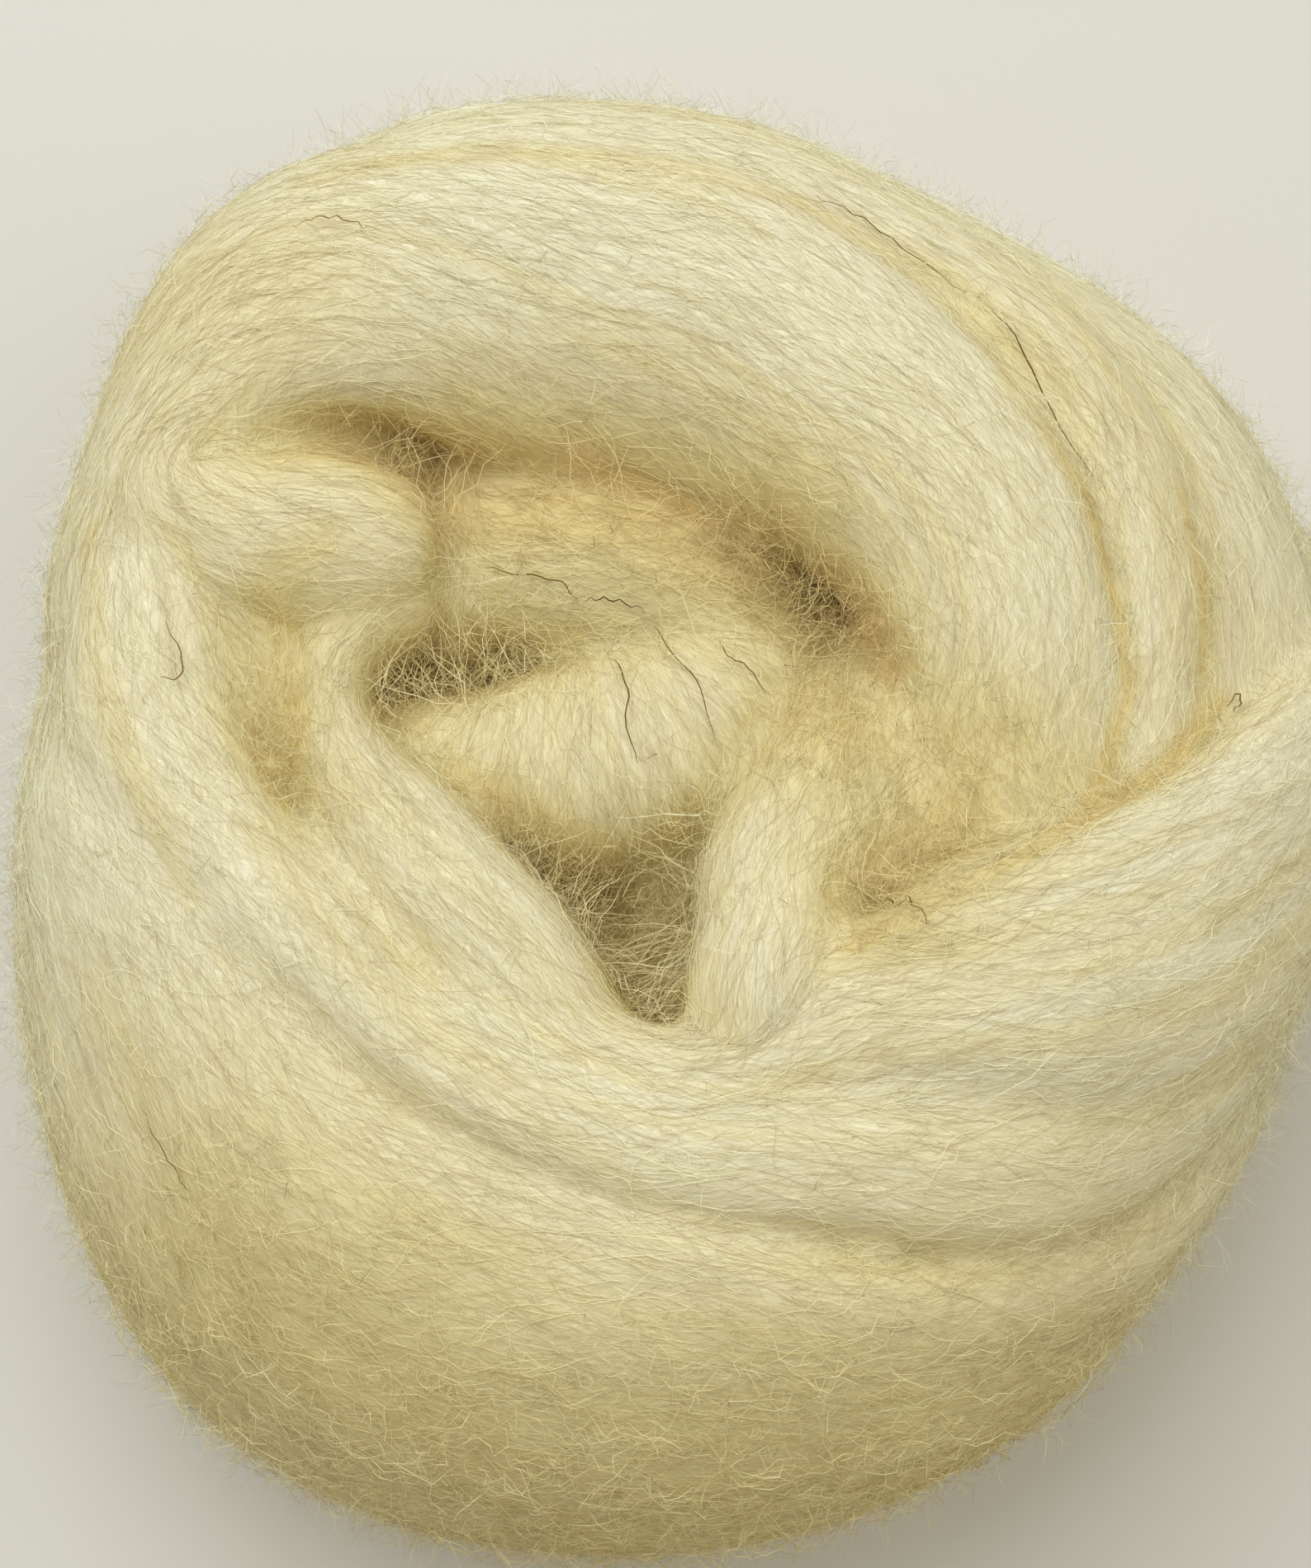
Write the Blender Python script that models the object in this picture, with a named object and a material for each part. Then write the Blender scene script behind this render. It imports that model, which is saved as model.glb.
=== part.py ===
"""A nest of combed wool roving.

One thick, soft, untwisted strand of combed wool is wound round and round into a ring. Its last
turns lap over one another on top, one of them rears up as a hood, and the end is folded into the
crater in the middle. The whole winding is one solid. Its fibres are a matter of finish.

Tables are in millimetres and degrees, the solid is in metres, +Z up. The tables are measured from
near the middle of the nest, and the finished solid is then moved so that the origin is on the
surface that it rests on, under the middle of its bounding box.

Places on the winding are given on a smooth ring: "turn" is the angle round it, anticlockwise from
+X as seen from above, and "tilt" is the angle round its section, 0 facing out, 90 on the crest,
180 facing the crater and -90 underneath.
"""

import math
from collections import namedtuple

import bmesh
import bpy
import numpy as np
from mathutils import Matrix

MM = 0.001

# The ring under the turns.
CENTRE_X, CENTRE_Y = -8, 2
MID_HEIGHT = 31  # where the nest is widest
DROP = 27.5  # from there down to the underside
FOOT_SHARE = 0.3  # the underside curves in to this share of the reach, then is level
PROUD = 6  # how far the turns stand out of the ring
CRATER_TILT, CRATER_FLOOR = 140, 50  # where the ring ends in the crater, and the floor's height
# How far the core lies out of the ring under the turns, from the underside to the crater.
CORE_TILTS = (-90, 95, 120)
CORE_LIFTS = (4, 5, -3)
RingSection = namedtuple("RingSection", "turn crater crest reach rise")
# The crater's edge, the crest and the reach are distances from the centre, and the rise is the
# crest's height over the widest level.
RING = (
    RingSection(0, 28, 50, 92, 35),
    RingSection(30, 30, 54, 99, 35),
    RingSection(60, 30, 58, 93, 36),
    RingSection(90, 32, 62, 96, 36),
    RingSection(120, 34, 60, 94, 34),
    RingSection(150, 32, 53, 75, 30),
    RingSection(180, 31, 50, 72, 31),
    RingSection(210, 24, 42, 78, 33),
    RingSection(240, 22, 42, 88, 34),
    RingSection(270, 24, 46, 90, 34),
    RingSection(300, 26, 52, 91, 35),
    RingSection(330, 26, 56, 89, 35),
)

# A row for each turn that shows on top. Its half widths, lifts, leans and tilts are spaced evenly
# from the first turn angle to the last. A lift is how far the turn's edges lie out of the ring, and
# a lean is how much prouder than its middle its edge towards the crater is.
Turn = namedtuple("Turn", "first last half_widths half_thick lifts leans tilts")
TURNS = {
    "outer": Turn(
        first=135,
        last=525,
        half_widths=(12, 13, 13, 13, 12),
        half_thick=8,
        lifts=(-2,),
        leans=(0,),
        tilts=(40, 28, 20, 14, 10, 8, 6, 4, 6, 10, 14, 18, 24, 30, 32, 30, 28, 26, 30, 26, 14),
    ),
    "left_low": Turn(
        first=165,
        last=375,
        half_widths=(10, 15, 19, 19, 17, 13, 9, 8),
        half_thick=7,
        lifts=(0, 0, 1, 1, 0, 0),
        leans=(0, 1, 1, 1, 0, 0),
        tilts=(18, 38, 50, 53, 53, 53, 53, 52, 48, 36, 16, -4, -24, -40, -54),
    ),
    "top_outer": Turn(
        first=315,
        last=480,
        half_widths=(5, 5, 6, 8, 8, 8),
        half_thick=7,
        lifts=(-5, -1, 1, 1, 1),
        leans=(0,),
        tilts=(84, 76, 70, 69, 65, 64, 61, 61, 60, 60, 52, 40),
    ),
    "left_middle": Turn(
        first=260,
        last=388,
        half_widths=(5, 6, 5, 5, 6, 7, 8),
        half_thick=7,
        lifts=(0, 1, 1, 1, 0),
        leans=(0,),
        tilts=(76, 72, 62, 46, 22, -4, -24, -40, -54),
    ),
    "top_middle": Turn(
        first=315,
        last=480,
        half_widths=(5, 5, 5, 5, 4, 5, 6),
        half_thick=8,
        lifts=(-5, -1, 2, 2, -1),
        leans=(0,),
        tilts=(98, 91, 87, 85, 83, 83, 84, 83, 80, 77, 66, 50),
    ),
    "left_high": Turn(
        first=105,
        last=405,
        half_widths=(8, 8, 9, 6, 4, 4, 6, 9, 8, 8, 8),
        half_thick=8,
        lifts=(0, 0, 0, 1, 1, 1, 1, 1, 0, 0, 0),
        leans=(0,),
        tilts=(48, 49, 52, 60, 76, 90, 95, 95, 95, 94, 93, 92, 90, 85, 69, 48, 24, 0, -24, -44, -58),
    ),
    "hood": Turn(
        first=315,
        last=540,
        half_widths=(8, 9, 9, 11, 14, 15, 11, 7),
        half_thick=10,
        lifts=(-7, -4, 0, 1, 1, 1, 1, -2),
        leans=(-4, -4, -2, 0, 0, 0, 0, 0),
        tilts=(112, 107, 105, 106, 104, 105, 107, 110, 109, 107, 96, 75, 57, 44, 32, 24),
    ),
    "front": Turn(
        first=225,
        last=435,
        half_widths=(8, 10, 9, 4.5, 4.5, 10, 14, 15, 14, 12, 10, 8),
        half_thick=9,
        lifts=(0, 0, 0, 2, 4, 3, 1, 0, -1),
        leans=(0, 0, 1, 2, 1, 0, 0),
        tilts=(122, 119, 117, 113, 107, 106, 102, 84, 56, 24, -8, -32, -48, -60, -66),
    ),
}
OVERLAP = 1.12  # how much wider than its own band a turn is
FLATNESS = 0.5  # 1 for a turn with an elliptical section, less for a flatter one
BLEND = 0.7  # how softly turns meet

# The closed turns of the sides and the underside are spaced down the ring by a rule.
SIDE_TILTS = (14, -9, -31, -53)
SIDE_HALF_WIDTH, SIDE_HALF_THICK = 13, 7
SIDE_LIFT = -1
SIDE_WANDER = 7  # how far a side turn's tilt swings, twice on its way round
SIDE_RIPPLE = 2.8  # a second, smaller swing, three times on the way round
SIDE_PHASE = 2.1  # in radians, so that neighbouring side turns swing out of step

# A row for each section of a fold in the crater: its middle, and half its width and thickness.
FoldSection = namedtuple("FoldSection", "x y z half_width half_thick")
FOLDS = {
    "left_lobe": (
        FoldSection(-56, 54, 54, 9, 9),
        FoldSection(-58, 44, 58, 11, 9),
        FoldSection(-56, 35, 60, 12, 10),
        FoldSection(-49, 30, 61, 12, 10),
        FoldSection(-42, 29, 61, 12, 10),
        FoldSection(-35, 28, 60, 11, 10),
        FoldSection(-30, 27, 57, 8, 8),
    ),
    "alcove": (
        FoldSection(-52, 43, 57, 8, 8),
        FoldSection(-46, 44, 57, 8, 8),
        FoldSection(-40, 44, 56, 9, 8),
        FoldSection(-35, 44, 52, 8, 8),
        FoldSection(-31, 44, 46, 6, 8),
    ),
    "lobe_flank": (
        FoldSection(-55, 25, 58, 9, 8),
        FoldSection(-50, 19, 58, 8, 8),
        FoldSection(-46, 13, 57, 8, 8),
        FoldSection(-43, 7, 57, 7, 8),
        FoldSection(-40, 0, 57, 6, 8),
        FoldSection(-36, -4, 56, 5, 7),
    ),
    "left_fold": (
        FoldSection(-29, 27, 54, 5, 7),
        FoldSection(-31, 22, 58, 5, 7),
        FoldSection(-35, 19, 59, 5, 7),
        FoldSection(-39, 14, 60, 5, 7),
        FoldSection(-39, 7, 61, 5, 7),
        FoldSection(-36, -1, 62, 7, 8),
        FoldSection(-30, -9, 63, 9, 8),
        FoldSection(-24, -16, 64, 9, 8),
        FoldSection(-18, -22, 64, 9, 8),
        FoldSection(-12, -29, 63, 8, 8),
        FoldSection(-6, -34, 61, 6, 7),
        FoldSection(2, -38, 60, 6, 7),
        FoldSection(11, -39, 58, 6, 7),
    ),
    "upper_edge": (
        FoldSection(-25, 48, 46, 5, 7),
        FoldSection(-24, 39, 52, 6, 8),
        FoldSection(-24, 31, 54, 6, 8),
        FoldSection(-25, 24, 52, 6, 8),
        FoldSection(-26, 19, 46, 5, 7),
    ),
    "upper_lobe": (
        FoldSection(-27, 34, 48, 9, 9),
        FoldSection(-21, 32, 52, 13, 10),
        FoldSection(-15, 31, 53, 14, 10),
        FoldSection(-7, 29, 54, 13, 10),
        FoldSection(1, 28, 53, 13, 10),
        FoldSection(9, 26, 52, 12, 10),
        FoldSection(17, 25, 49, 10, 9),
    ),
    "lower_lobe": (
        FoldSection(-33, 9, 47, 6, 8),
        FoldSection(-28, 4, 51, 9, 10),
        FoldSection(-20, 2, 52, 12, 11),
        FoldSection(-10, 3, 53, 14, 11),
        FoldSection(0, 6, 53, 14, 11),
        FoldSection(8, 12, 52, 12, 11),
        FoldSection(13, 20, 50, 10, 10),
        FoldSection(16, 28, 46, 8, 9),
    ),
    "tail": (
        FoldSection(23, 29, 46, 6, 8),
        FoldSection(22, 21, 50, 7, 8),
        FoldSection(21, 14, 52, 8, 8),
        FoldSection(20, 7, 55, 9, 8),
        FoldSection(19, -1, 58, 10, 9),
        FoldSection(17, -8, 60, 11, 9),
        FoldSection(15, -14, 62, 11, 9),
        FoldSection(14, -21, 65, 10, 9),
        FoldSection(13, -26, 68, 10, 8),
        FoldSection(13, -31, 69, 10, 6),
        FoldSection(14, -35, 68, 9, 5),
        FoldSection(14, -39, 63, 8, 4),
    ),
    "fan": (
        FoldSection(19, 16, 47, 5, 7),
        FoldSection(13, 7, 50, 7, 7),
        FoldSection(8, 0, 51, 9, 7),
        FoldSection(4, -7, 50, 10, 7),
        FoldSection(2, -14, 47, 9, 7),
        FoldSection(1, -21, 44, 8, 7),
        FoldSection(3, -28, 44, 6, 7),
    ),
    "tuft": (
        FoldSection(28, 22, 52, 8, 9),
        FoldSection(30, 8, 59, 10, 9),
        FoldSection(31, -1, 62, 12, 9),
        FoldSection(31, -8, 62, 12, 9),
        FoldSection(30, -14, 60, 11, 9),
        FoldSection(27, -18, 57, 9, 8),
        FoldSection(22, -20, 54, 7, 8),
    ),
}

STATIONS = 200  # steps round the ring
CORE_STEPS = 120  # steps round its section
FOLD_STEPS = 8  # sections of a fold for each row of its table
SECTION_POINTS = 20
END_SHARE = 0.12  # the part of a strand's length over which each end thins out
END_DIVE = 9  # how far an end sinks as it thins
NARROWEST = 0.001  # the share of its width that a turn keeps at its very tips
NOWHERE = -99  # a turn's height beyond its edges, below everything else
VOXEL = 1.8
SMOOTHING, SMOOTH_STEPS = 0.5, 4
TRIANGLES = 9400
CUTTER_SIZE = 400  # wider than the nest

WOOL = (0.68, 0.60, 0.37)
WOOL_ROUGHNESS = 0.9


def smooth_row(values, at, closed):
    """A cubic through evenly spaced rows of values. at runs from 0 to the last row's number."""
    values = np.asarray(values, float)
    count = len(values)
    first = np.floor(at).astype(int)
    if not closed:
        first = np.clip(first, 0, count - 2)
    part = (at - first)[:, None]

    def pick(step):
        index = first + step
        return values[index % count] if closed else values[np.clip(index, 0, count - 1)]

    before, here, after, beyond = (pick(step).reshape(len(at), -1) for step in (-1, 0, 1, 2))
    return 0.5 * (
        2 * here
        + (after - before) * part
        + (2 * before - 5 * here + 4 * after - beyond) * part**2
        + (3 * here - before - 3 * after + beyond) * part**3
    )


def ring_sizes(turn):
    """The ring's sizes at these turn angles, in the order of its columns."""
    rows = [section[1:] for section in RING]
    step = 360 / len(RING)
    return smooth_row(rows, np.ravel(turn) / step, closed=True).T.reshape(4, *np.shape(turn))


def ring_place(turn, tilt, lift):
    """Points that stand lift millimetres out of the ring."""
    crater, crest, reach, rise = ring_sizes(turn)
    reach = reach - PROUD
    turn, tilt = np.radians(turn), np.radians(tilt)
    out, up = np.cos(tilt), np.sin(tilt)
    foot = FOOT_SHARE * reach
    hub = np.where(up >= 0, crest, foot)
    wide = np.where(out >= 0, reach - hub, hub - np.where(up >= 0, crater, 0))
    tall = np.where(up >= 0, rise, DROP)
    normal_out, normal_up = out / wide, up / tall
    size = np.hypot(normal_out, normal_up)
    radius = hub + wide * out + lift * normal_out / size
    height = MID_HEIGHT + tall * up + lift * normal_up / size
    return np.stack(
        [CENTRE_X + radius * np.cos(turn), CENTRE_Y + radius * np.sin(turn), height], axis=-1
    )


def ends(along):
    """1 along a strand, falling to 0 in a round nose at each end."""
    near = np.clip(np.minimum(along, 1 - along) / END_SHARE, 0, 1)
    return np.sqrt(1 - (1 - near) ** 2)


def spread(values, along):
    """Values spaced evenly from one end of a strand to the other, read at these shares of it."""
    if len(values) == 1:
        return np.full(len(along), float(values[0]))
    return np.interp(along, np.linspace(0, 1, len(values)), values)


class Winding:
    """The turns laid on the ring, as the height of the topmost at each of a grid of places."""

    def __init__(self):
        turn = np.linspace(0, 360, STATIONS, endpoint=False)
        tilt = np.linspace(-90, CRATER_TILT, CORE_STEPS)
        self.turn, self.tilt = np.broadcast_arrays(turn[:, None], tilt[None, :])
        level = ring_place(self.turn, self.tilt, 0)
        self.per_turn = np.linalg.norm(ring_place(self.turn + 1, self.tilt, 0) - level, axis=-1)
        self.per_tilt = np.linalg.norm(ring_place(self.turn, self.tilt + 1, 0) - level, axis=-1)
        self.arc = np.cumsum(self.per_tilt, axis=1) * (tilt[1] - tilt[0])
        layers = [np.interp(self.tilt, CORE_TILTS, CORE_LIFTS)]
        for row in TURNS.values():
            layers += [self.turn_height(row, lap) for lap in (0, 360)]
        layers += [self.side_height(number, tilt) for number, tilt in enumerate(SIDE_TILTS)]
        layers = np.stack(layers)
        top = layers.max(axis=0)
        height = top + BLEND * np.log(np.sum(np.exp((layers - top) / BLEND), axis=0))
        self.places = ring_place(self.turn, self.tilt, height)

    def shares(self, turn, middle, half_width):
        """How far each place is from the turn's middle, with 1 and -1 at its edges."""
        rows = range(len(turn))
        nearest = [int(np.argmin(np.abs(self.tilt[i] - middle[i]))) for i in rows]
        per_turn, per_tilt = self.per_turn[rows, nearest], self.per_tilt[rows, nearest]
        slant = np.gradient(middle) / np.gradient(turn) * per_tilt / per_turn
        middle_arc = [np.interp(middle[i], self.tilt[i], self.arc[i]) for i in rows]
        off = (self.arc - np.array(middle_arc)[:, None]) / np.hypot(1, slant)[:, None]
        return off / (OVERLAP * half_width)[:, None]

    def turn_height(self, row, lap):
        """A turn on its first or its second lap of the ring."""
        turn = self.turn[:, 0] + lap
        along = np.clip((turn - row.first) / (row.last - row.first), 0, 1)
        middle = smooth_row(row.tilts, along * (len(row.tilts) - 1), closed=False)[:, 0]
        thin = ends(along)
        narrowing = np.maximum(np.sqrt(thin), NARROWEST)
        share = self.shares(turn, middle, spread(row.half_widths, along) * narrowing)
        base = spread(row.lifts, along) - END_DIVE * (1 - thin)
        height = base[:, None] + spread(row.leans, along)[:, None] * share
        height += (row.half_thick * thin)[:, None] * crown(share)
        inside = ((turn > row.first) & (turn < row.last))[:, None]
        return np.where(inside & (np.abs(share) < 1), height, NOWHERE)

    def side_height(self, number, tilt):
        """A closed turn of the side, which wanders up and down on its way round."""
        turn = self.turn[:, 0]
        phase = SIDE_PHASE * number
        middle = tilt + SIDE_WANDER * np.sin(np.radians(turn) * 2 + phase)
        middle += SIDE_RIPPLE * np.sin(np.radians(turn) * 3 - phase)
        share = self.shares(turn, middle, np.full(len(turn), float(SIDE_HALF_WIDTH)))
        height = SIDE_LIFT + SIDE_HALF_THICK * crown(share)
        return np.where(np.abs(share) < 1, height, NOWHERE)


def crown(share):
    """The height of a turn's section over its edges, as a share of its greatest."""
    return np.clip(1 - share**2, 0, None) ** (FLATNESS / 2)


def fold_sections(rows):
    """Sections of a strand that runs free, through the rows of a fold."""
    along = np.linspace(0, 1, FOLD_STEPS * len(rows))
    values = smooth_row(rows, along * (len(rows) - 1), closed=False)
    middle = values[:, :3]
    half_width, half_thick = values[:, 3:].T
    ahead = np.gradient(middle, axis=0)
    ahead /= np.linalg.norm(ahead, axis=1)[:, None]
    level = np.cross([0, 0, 1], ahead)
    level /= np.linalg.norm(level, axis=1)[:, None]
    upright = np.cross(ahead, level)
    angle = np.linspace(0, 2 * math.pi, SECTION_POINTS, endpoint=False)
    thin = ends(along)
    across = (half_width * thin)[:, None] * np.cos(angle)
    out = (half_thick * thin)[:, None] * np.sin(angle)
    across = across[..., None] * level[:, None]
    out = out[..., None] * upright[:, None]
    return middle[:, None] + across + out


def add_tube(shape, sections):
    """Adds a tube through these sections, its ends filled."""
    rings = [[shape.verts.new(point * MM) for point in section] for section in sections]
    around = len(rings[0])
    for near, far in zip(rings, rings[1:]):
        for i in range(around):
            j = (i + 1) % around
            shape.faces.new((near[i], near[j], far[j], far[i]))
    shape.faces.new(rings[0][::-1])
    shape.faces.new(rings[-1])


def add_winding(shape, sections):
    """Adds the wound ring with its crater floor and its underside."""
    rings = [[shape.verts.new(point * MM) for point in section] for section in sections]
    floor = shape.verts.new((CENTRE_X * MM, CENTRE_Y * MM, CRATER_FLOOR * MM))
    under = shape.verts.new((CENTRE_X * MM, CENTRE_Y * MM, (MID_HEIGHT - DROP - PROUD) * MM))
    for near, far in zip(rings, rings[1:] + rings[:1]):
        for i in range(len(near) - 1):
            shape.faces.new((near[i], far[i], far[i + 1], near[i + 1]))
        shape.faces.new((near[-1], far[-1], floor))
        shape.faces.new((far[0], near[0], under))


def wound_mesh():
    """The wound ring and the folds, still passing through one another."""
    shape = bmesh.new()
    add_winding(shape, Winding().places)
    for rows in FOLDS.values():
        add_tube(shape, fold_sections(rows))
    bmesh.ops.recalc_face_normals(shape, faces=shape.faces)
    mesh = bpy.data.meshes.new("roving_nest")
    shape.to_mesh(mesh)
    shape.free()
    return mesh


def evaluated(obj):
    """A new mesh of the object as its modifiers leave it."""
    bpy.context.view_layer.update()
    graph = bpy.context.evaluated_depsgraph_get()
    return bpy.data.meshes.new_from_object(obj.evaluated_get(graph), depsgraph=graph)


def keep_outside(mesh):
    """Deletes all but the largest shell, which leaves no sealed pocket between the strands."""
    shape = bmesh.new()
    shape.from_mesh(mesh)
    left = set(shape.verts)
    shells = []
    while left:
        shell, front = set(), [left.pop()]
        while front:
            vertex = front.pop()
            shell.add(vertex)
            for edge in vertex.link_edges:
                other = edge.other_vert(vertex)
                if other in left:
                    left.discard(other)
                    front.append(other)
        shells.append(shell)
    shells.sort(key=len)
    inner = [vertex for shell in shells[:-1] for vertex in shell]
    bmesh.ops.delete(shape, geom=inner, context="VERTS")
    shape.to_mesh(mesh)
    shape.free()


def wool_material():
    wool = bpy.data.materials.new("wool")
    wool.use_nodes = True
    shader = wool.node_tree.nodes["Principled BSDF"]
    shader.inputs["Base Color"].default_value = (*WOOL, 1)
    shader.inputs["Roughness"].default_value = WOOL_ROUGHNESS
    shader.inputs["Metallic"].default_value = 0
    return wool


def surface_block():
    """A cutter for what would lie below the surface that the nest rests on."""
    size = CUTTER_SIZE * MM
    bpy.ops.mesh.primitive_cube_add(size=size, location=(0, 0, -size / 2))
    block = bpy.context.object
    block.name = "surface_cutter"
    return block


def apply_modifiers(obj):
    mesh = evaluated(obj)
    obj.modifiers.clear()
    obj.data = mesh


def join_strands(nest):
    """Makes one surface of the wound ring and the folds."""
    join = nest.modifiers.new("join the folds", "REMESH")
    join.mode = "VOXEL"
    join.voxel_size = VOXEL * MM
    soften = nest.modifiers.new("soften", "SMOOTH")
    soften.factor = SMOOTHING
    soften.iterations = SMOOTH_STEPS
    apply_modifiers(nest)
    keep_outside(nest.data)


def level_underside(nest):
    """Thins the faces out and cuts the flat spot that the nest rests on."""
    thin_out = nest.modifiers.new("fewer faces", "DECIMATE")
    nest.data.calc_loop_triangles()
    thin_out.ratio = TRIANGLES / len(nest.data.loop_triangles)
    flat_spot = nest.modifiers.new("flat spot", "BOOLEAN")
    flat_spot.operation = "DIFFERENCE"
    cutter = surface_block()
    flat_spot.object = cutter
    apply_modifiers(nest)
    bpy.data.objects.remove(cutter)


def centre_on_origin(mesh):
    corners = np.empty(3 * len(mesh.vertices))
    mesh.vertices.foreach_get("co", corners)
    corners = corners.reshape(-1, 3)
    middle = (corners.min(axis=0) + corners.max(axis=0)) / 2
    mesh.transform(Matrix.Translation((-middle[0], -middle[1], 0)))


def roving_nest():
    nest = bpy.data.objects.new("roving_nest", wound_mesh())
    bpy.context.collection.objects.link(nest)
    join_strands(nest)
    level_underside(nest)
    centre_on_origin(nest.data)
    nest.data.materials.clear()
    nest.data.materials.append(wool_material())
    nest.data.shade_smooth()
    return nest


def main():
    for obj in list(bpy.data.objects):
        bpy.data.objects.remove(obj)
    roving_nest()


main()
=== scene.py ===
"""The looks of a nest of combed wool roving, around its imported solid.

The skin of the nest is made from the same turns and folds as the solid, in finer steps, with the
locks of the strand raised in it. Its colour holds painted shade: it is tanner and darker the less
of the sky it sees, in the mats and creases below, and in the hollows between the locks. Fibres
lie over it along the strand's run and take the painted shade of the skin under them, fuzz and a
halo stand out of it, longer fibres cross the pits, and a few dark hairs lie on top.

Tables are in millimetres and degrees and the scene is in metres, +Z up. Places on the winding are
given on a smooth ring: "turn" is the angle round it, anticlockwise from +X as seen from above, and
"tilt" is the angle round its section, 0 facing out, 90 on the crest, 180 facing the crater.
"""

import math
from collections import namedtuple

import bmesh
import bpy
import numpy as np
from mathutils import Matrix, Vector
from mathutils.bvhtree import BVHTree
from mathutils.kdtree import KDTree


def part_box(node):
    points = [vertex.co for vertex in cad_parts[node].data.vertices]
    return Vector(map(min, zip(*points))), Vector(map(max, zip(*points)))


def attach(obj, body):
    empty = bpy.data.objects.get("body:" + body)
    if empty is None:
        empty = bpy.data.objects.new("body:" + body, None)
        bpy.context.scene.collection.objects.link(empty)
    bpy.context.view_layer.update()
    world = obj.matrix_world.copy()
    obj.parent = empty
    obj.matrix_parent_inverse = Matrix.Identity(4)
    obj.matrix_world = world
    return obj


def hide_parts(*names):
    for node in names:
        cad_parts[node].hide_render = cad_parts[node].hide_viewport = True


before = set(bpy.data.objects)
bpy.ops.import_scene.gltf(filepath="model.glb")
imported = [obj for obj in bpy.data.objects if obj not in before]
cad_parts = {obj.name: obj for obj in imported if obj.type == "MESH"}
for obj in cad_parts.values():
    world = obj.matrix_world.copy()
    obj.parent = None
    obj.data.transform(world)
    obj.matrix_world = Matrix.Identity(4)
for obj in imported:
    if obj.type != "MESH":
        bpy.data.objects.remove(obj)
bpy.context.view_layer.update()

MM = 0.001

# The ring under the turns.
CENTRE_X, CENTRE_Y = -8, 2
MID_HEIGHT = 31  # where the nest is widest
DROP = 27.5  # from there down to the underside
FOOT_SHARE = 0.3  # the underside curves in to this share of the reach, then is level
PROUD = 6  # how far the turns stand out of the ring
CRATER_TILT, CRATER_FLOOR = 140, 50  # where the ring ends in the crater, and the floor's height
# How far the core lies out of the ring under the turns, from the underside to the crater.
CORE_TILTS = (-90, 95, 120)
CORE_LIFTS = (4, 5, -3)
# At each turn angle, how far the crater's edge, the crest and the outside are from the centre, and
# the crest's height over the widest level.
RING = (
    (0, 28, 50, 92, 35), (30, 30, 54, 99, 35), (60, 30, 58, 93, 36), (90, 32, 62, 96, 36),
    (120, 34, 60, 94, 34), (150, 32, 53, 75, 30), (180, 31, 50, 72, 31), (210, 24, 42, 78, 33),
    (240, 22, 42, 88, 34), (270, 24, 46, 90, 34), (300, 26, 52, 91, 35), (330, 26, 56, 89, 35),
)

# A strand that lies on the ring from one turn angle to another. tilts, half_widths and lifts are
# spread evenly along it, and so are leans, by which its edge towards the crater is prouder.
Turn = namedtuple("Turn", "first last half_thick lifts half_widths tilts leans", defaults=((0,),))
TURNS = {
    "outer": Turn(
        first=135, last=525, half_thick=8, lifts=(-2,),
        half_widths=(12, 13, 13, 13, 12),
        tilts=(40, 28, 20, 14, 10, 8, 6, 4, 6, 10, 14, 18, 24, 30, 32, 30, 28, 26, 30, 26, 14),
    ),
    "left_low": Turn(
        first=165, last=375, half_thick=7, lifts=(0, 0, 1, 1, 0, 0), leans=(0, 1, 1, 1, 0, 0),
        half_widths=(10, 15, 19, 19, 17, 13, 9, 8),
        tilts=(18, 38, 50, 53, 53, 53, 53, 52, 48, 36, 16, -4, -24, -40, -54),
    ),
    "top_outer": Turn(
        first=315, last=480, half_thick=7, lifts=(-5, -1, 1, 1, 1),
        half_widths=(5, 5, 6, 8, 8, 8),
        tilts=(84, 76, 70, 69, 65, 64, 61, 61, 60, 60, 52, 40),
    ),
    "left_middle": Turn(
        first=260, last=388, half_thick=7, lifts=(0, 1, 1, 1, 0),
        half_widths=(5, 6, 5, 5, 6, 7, 8),
        tilts=(76, 72, 62, 46, 22, -4, -24, -40, -54),
    ),
    "top_middle": Turn(
        first=315, last=480, half_thick=8, lifts=(-5, -1, 2, 2, -1),
        half_widths=(5, 5, 5, 5, 4, 5, 6),
        tilts=(98, 91, 87, 85, 83, 83, 84, 83, 80, 77, 66, 50),
    ),
    "left_high": Turn(
        first=105, last=405, half_thick=8, lifts=(0, 0, 0, 1, 1, 1, 1, 1, 0, 0, 0),
        half_widths=(8, 8, 9, 6, 4, 4, 6, 9, 8, 8, 8),
        tilts=(48, 49, 52, 60, 76, 90, 95, 95, 95, 94, 93)
        + (92, 90, 85, 69, 48, 24, 0, -24, -44, -58),
    ),
    "hood": Turn(
        first=315, last=540, half_thick=10, lifts=(-7, -4, 0, 1, 1, 1, 1, -2),
        leans=(-4, -4, -2, 0, 0, 0, 0, 0),
        half_widths=(8, 9, 9, 11, 14, 15, 11, 7),
        tilts=(112, 107, 105, 106, 104, 105, 107, 110, 109, 107, 96, 75, 57, 44, 32, 24),
    ),
    "front": Turn(
        first=225, last=435, half_thick=9, lifts=(0, 0, 0, 2, 4, 3, 1, 0, -1),
        leans=(0, 0, 1, 2, 1, 0, 0),
        half_widths=(8, 10, 9, 4.5, 4.5, 10, 14, 15, 14, 12, 10, 8),
        tilts=(122, 119, 117, 113, 107, 106, 102, 84, 56, 24, -8, -32, -48, -60, -66),
    ),
}
OVERLAP = 1.12  # how much wider than its own band a turn is
FLATNESS = 0.5  # 1 for a turn with an elliptical section, less for a flatter one
BLEND = 0.7  # how softly turns meet

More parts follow.
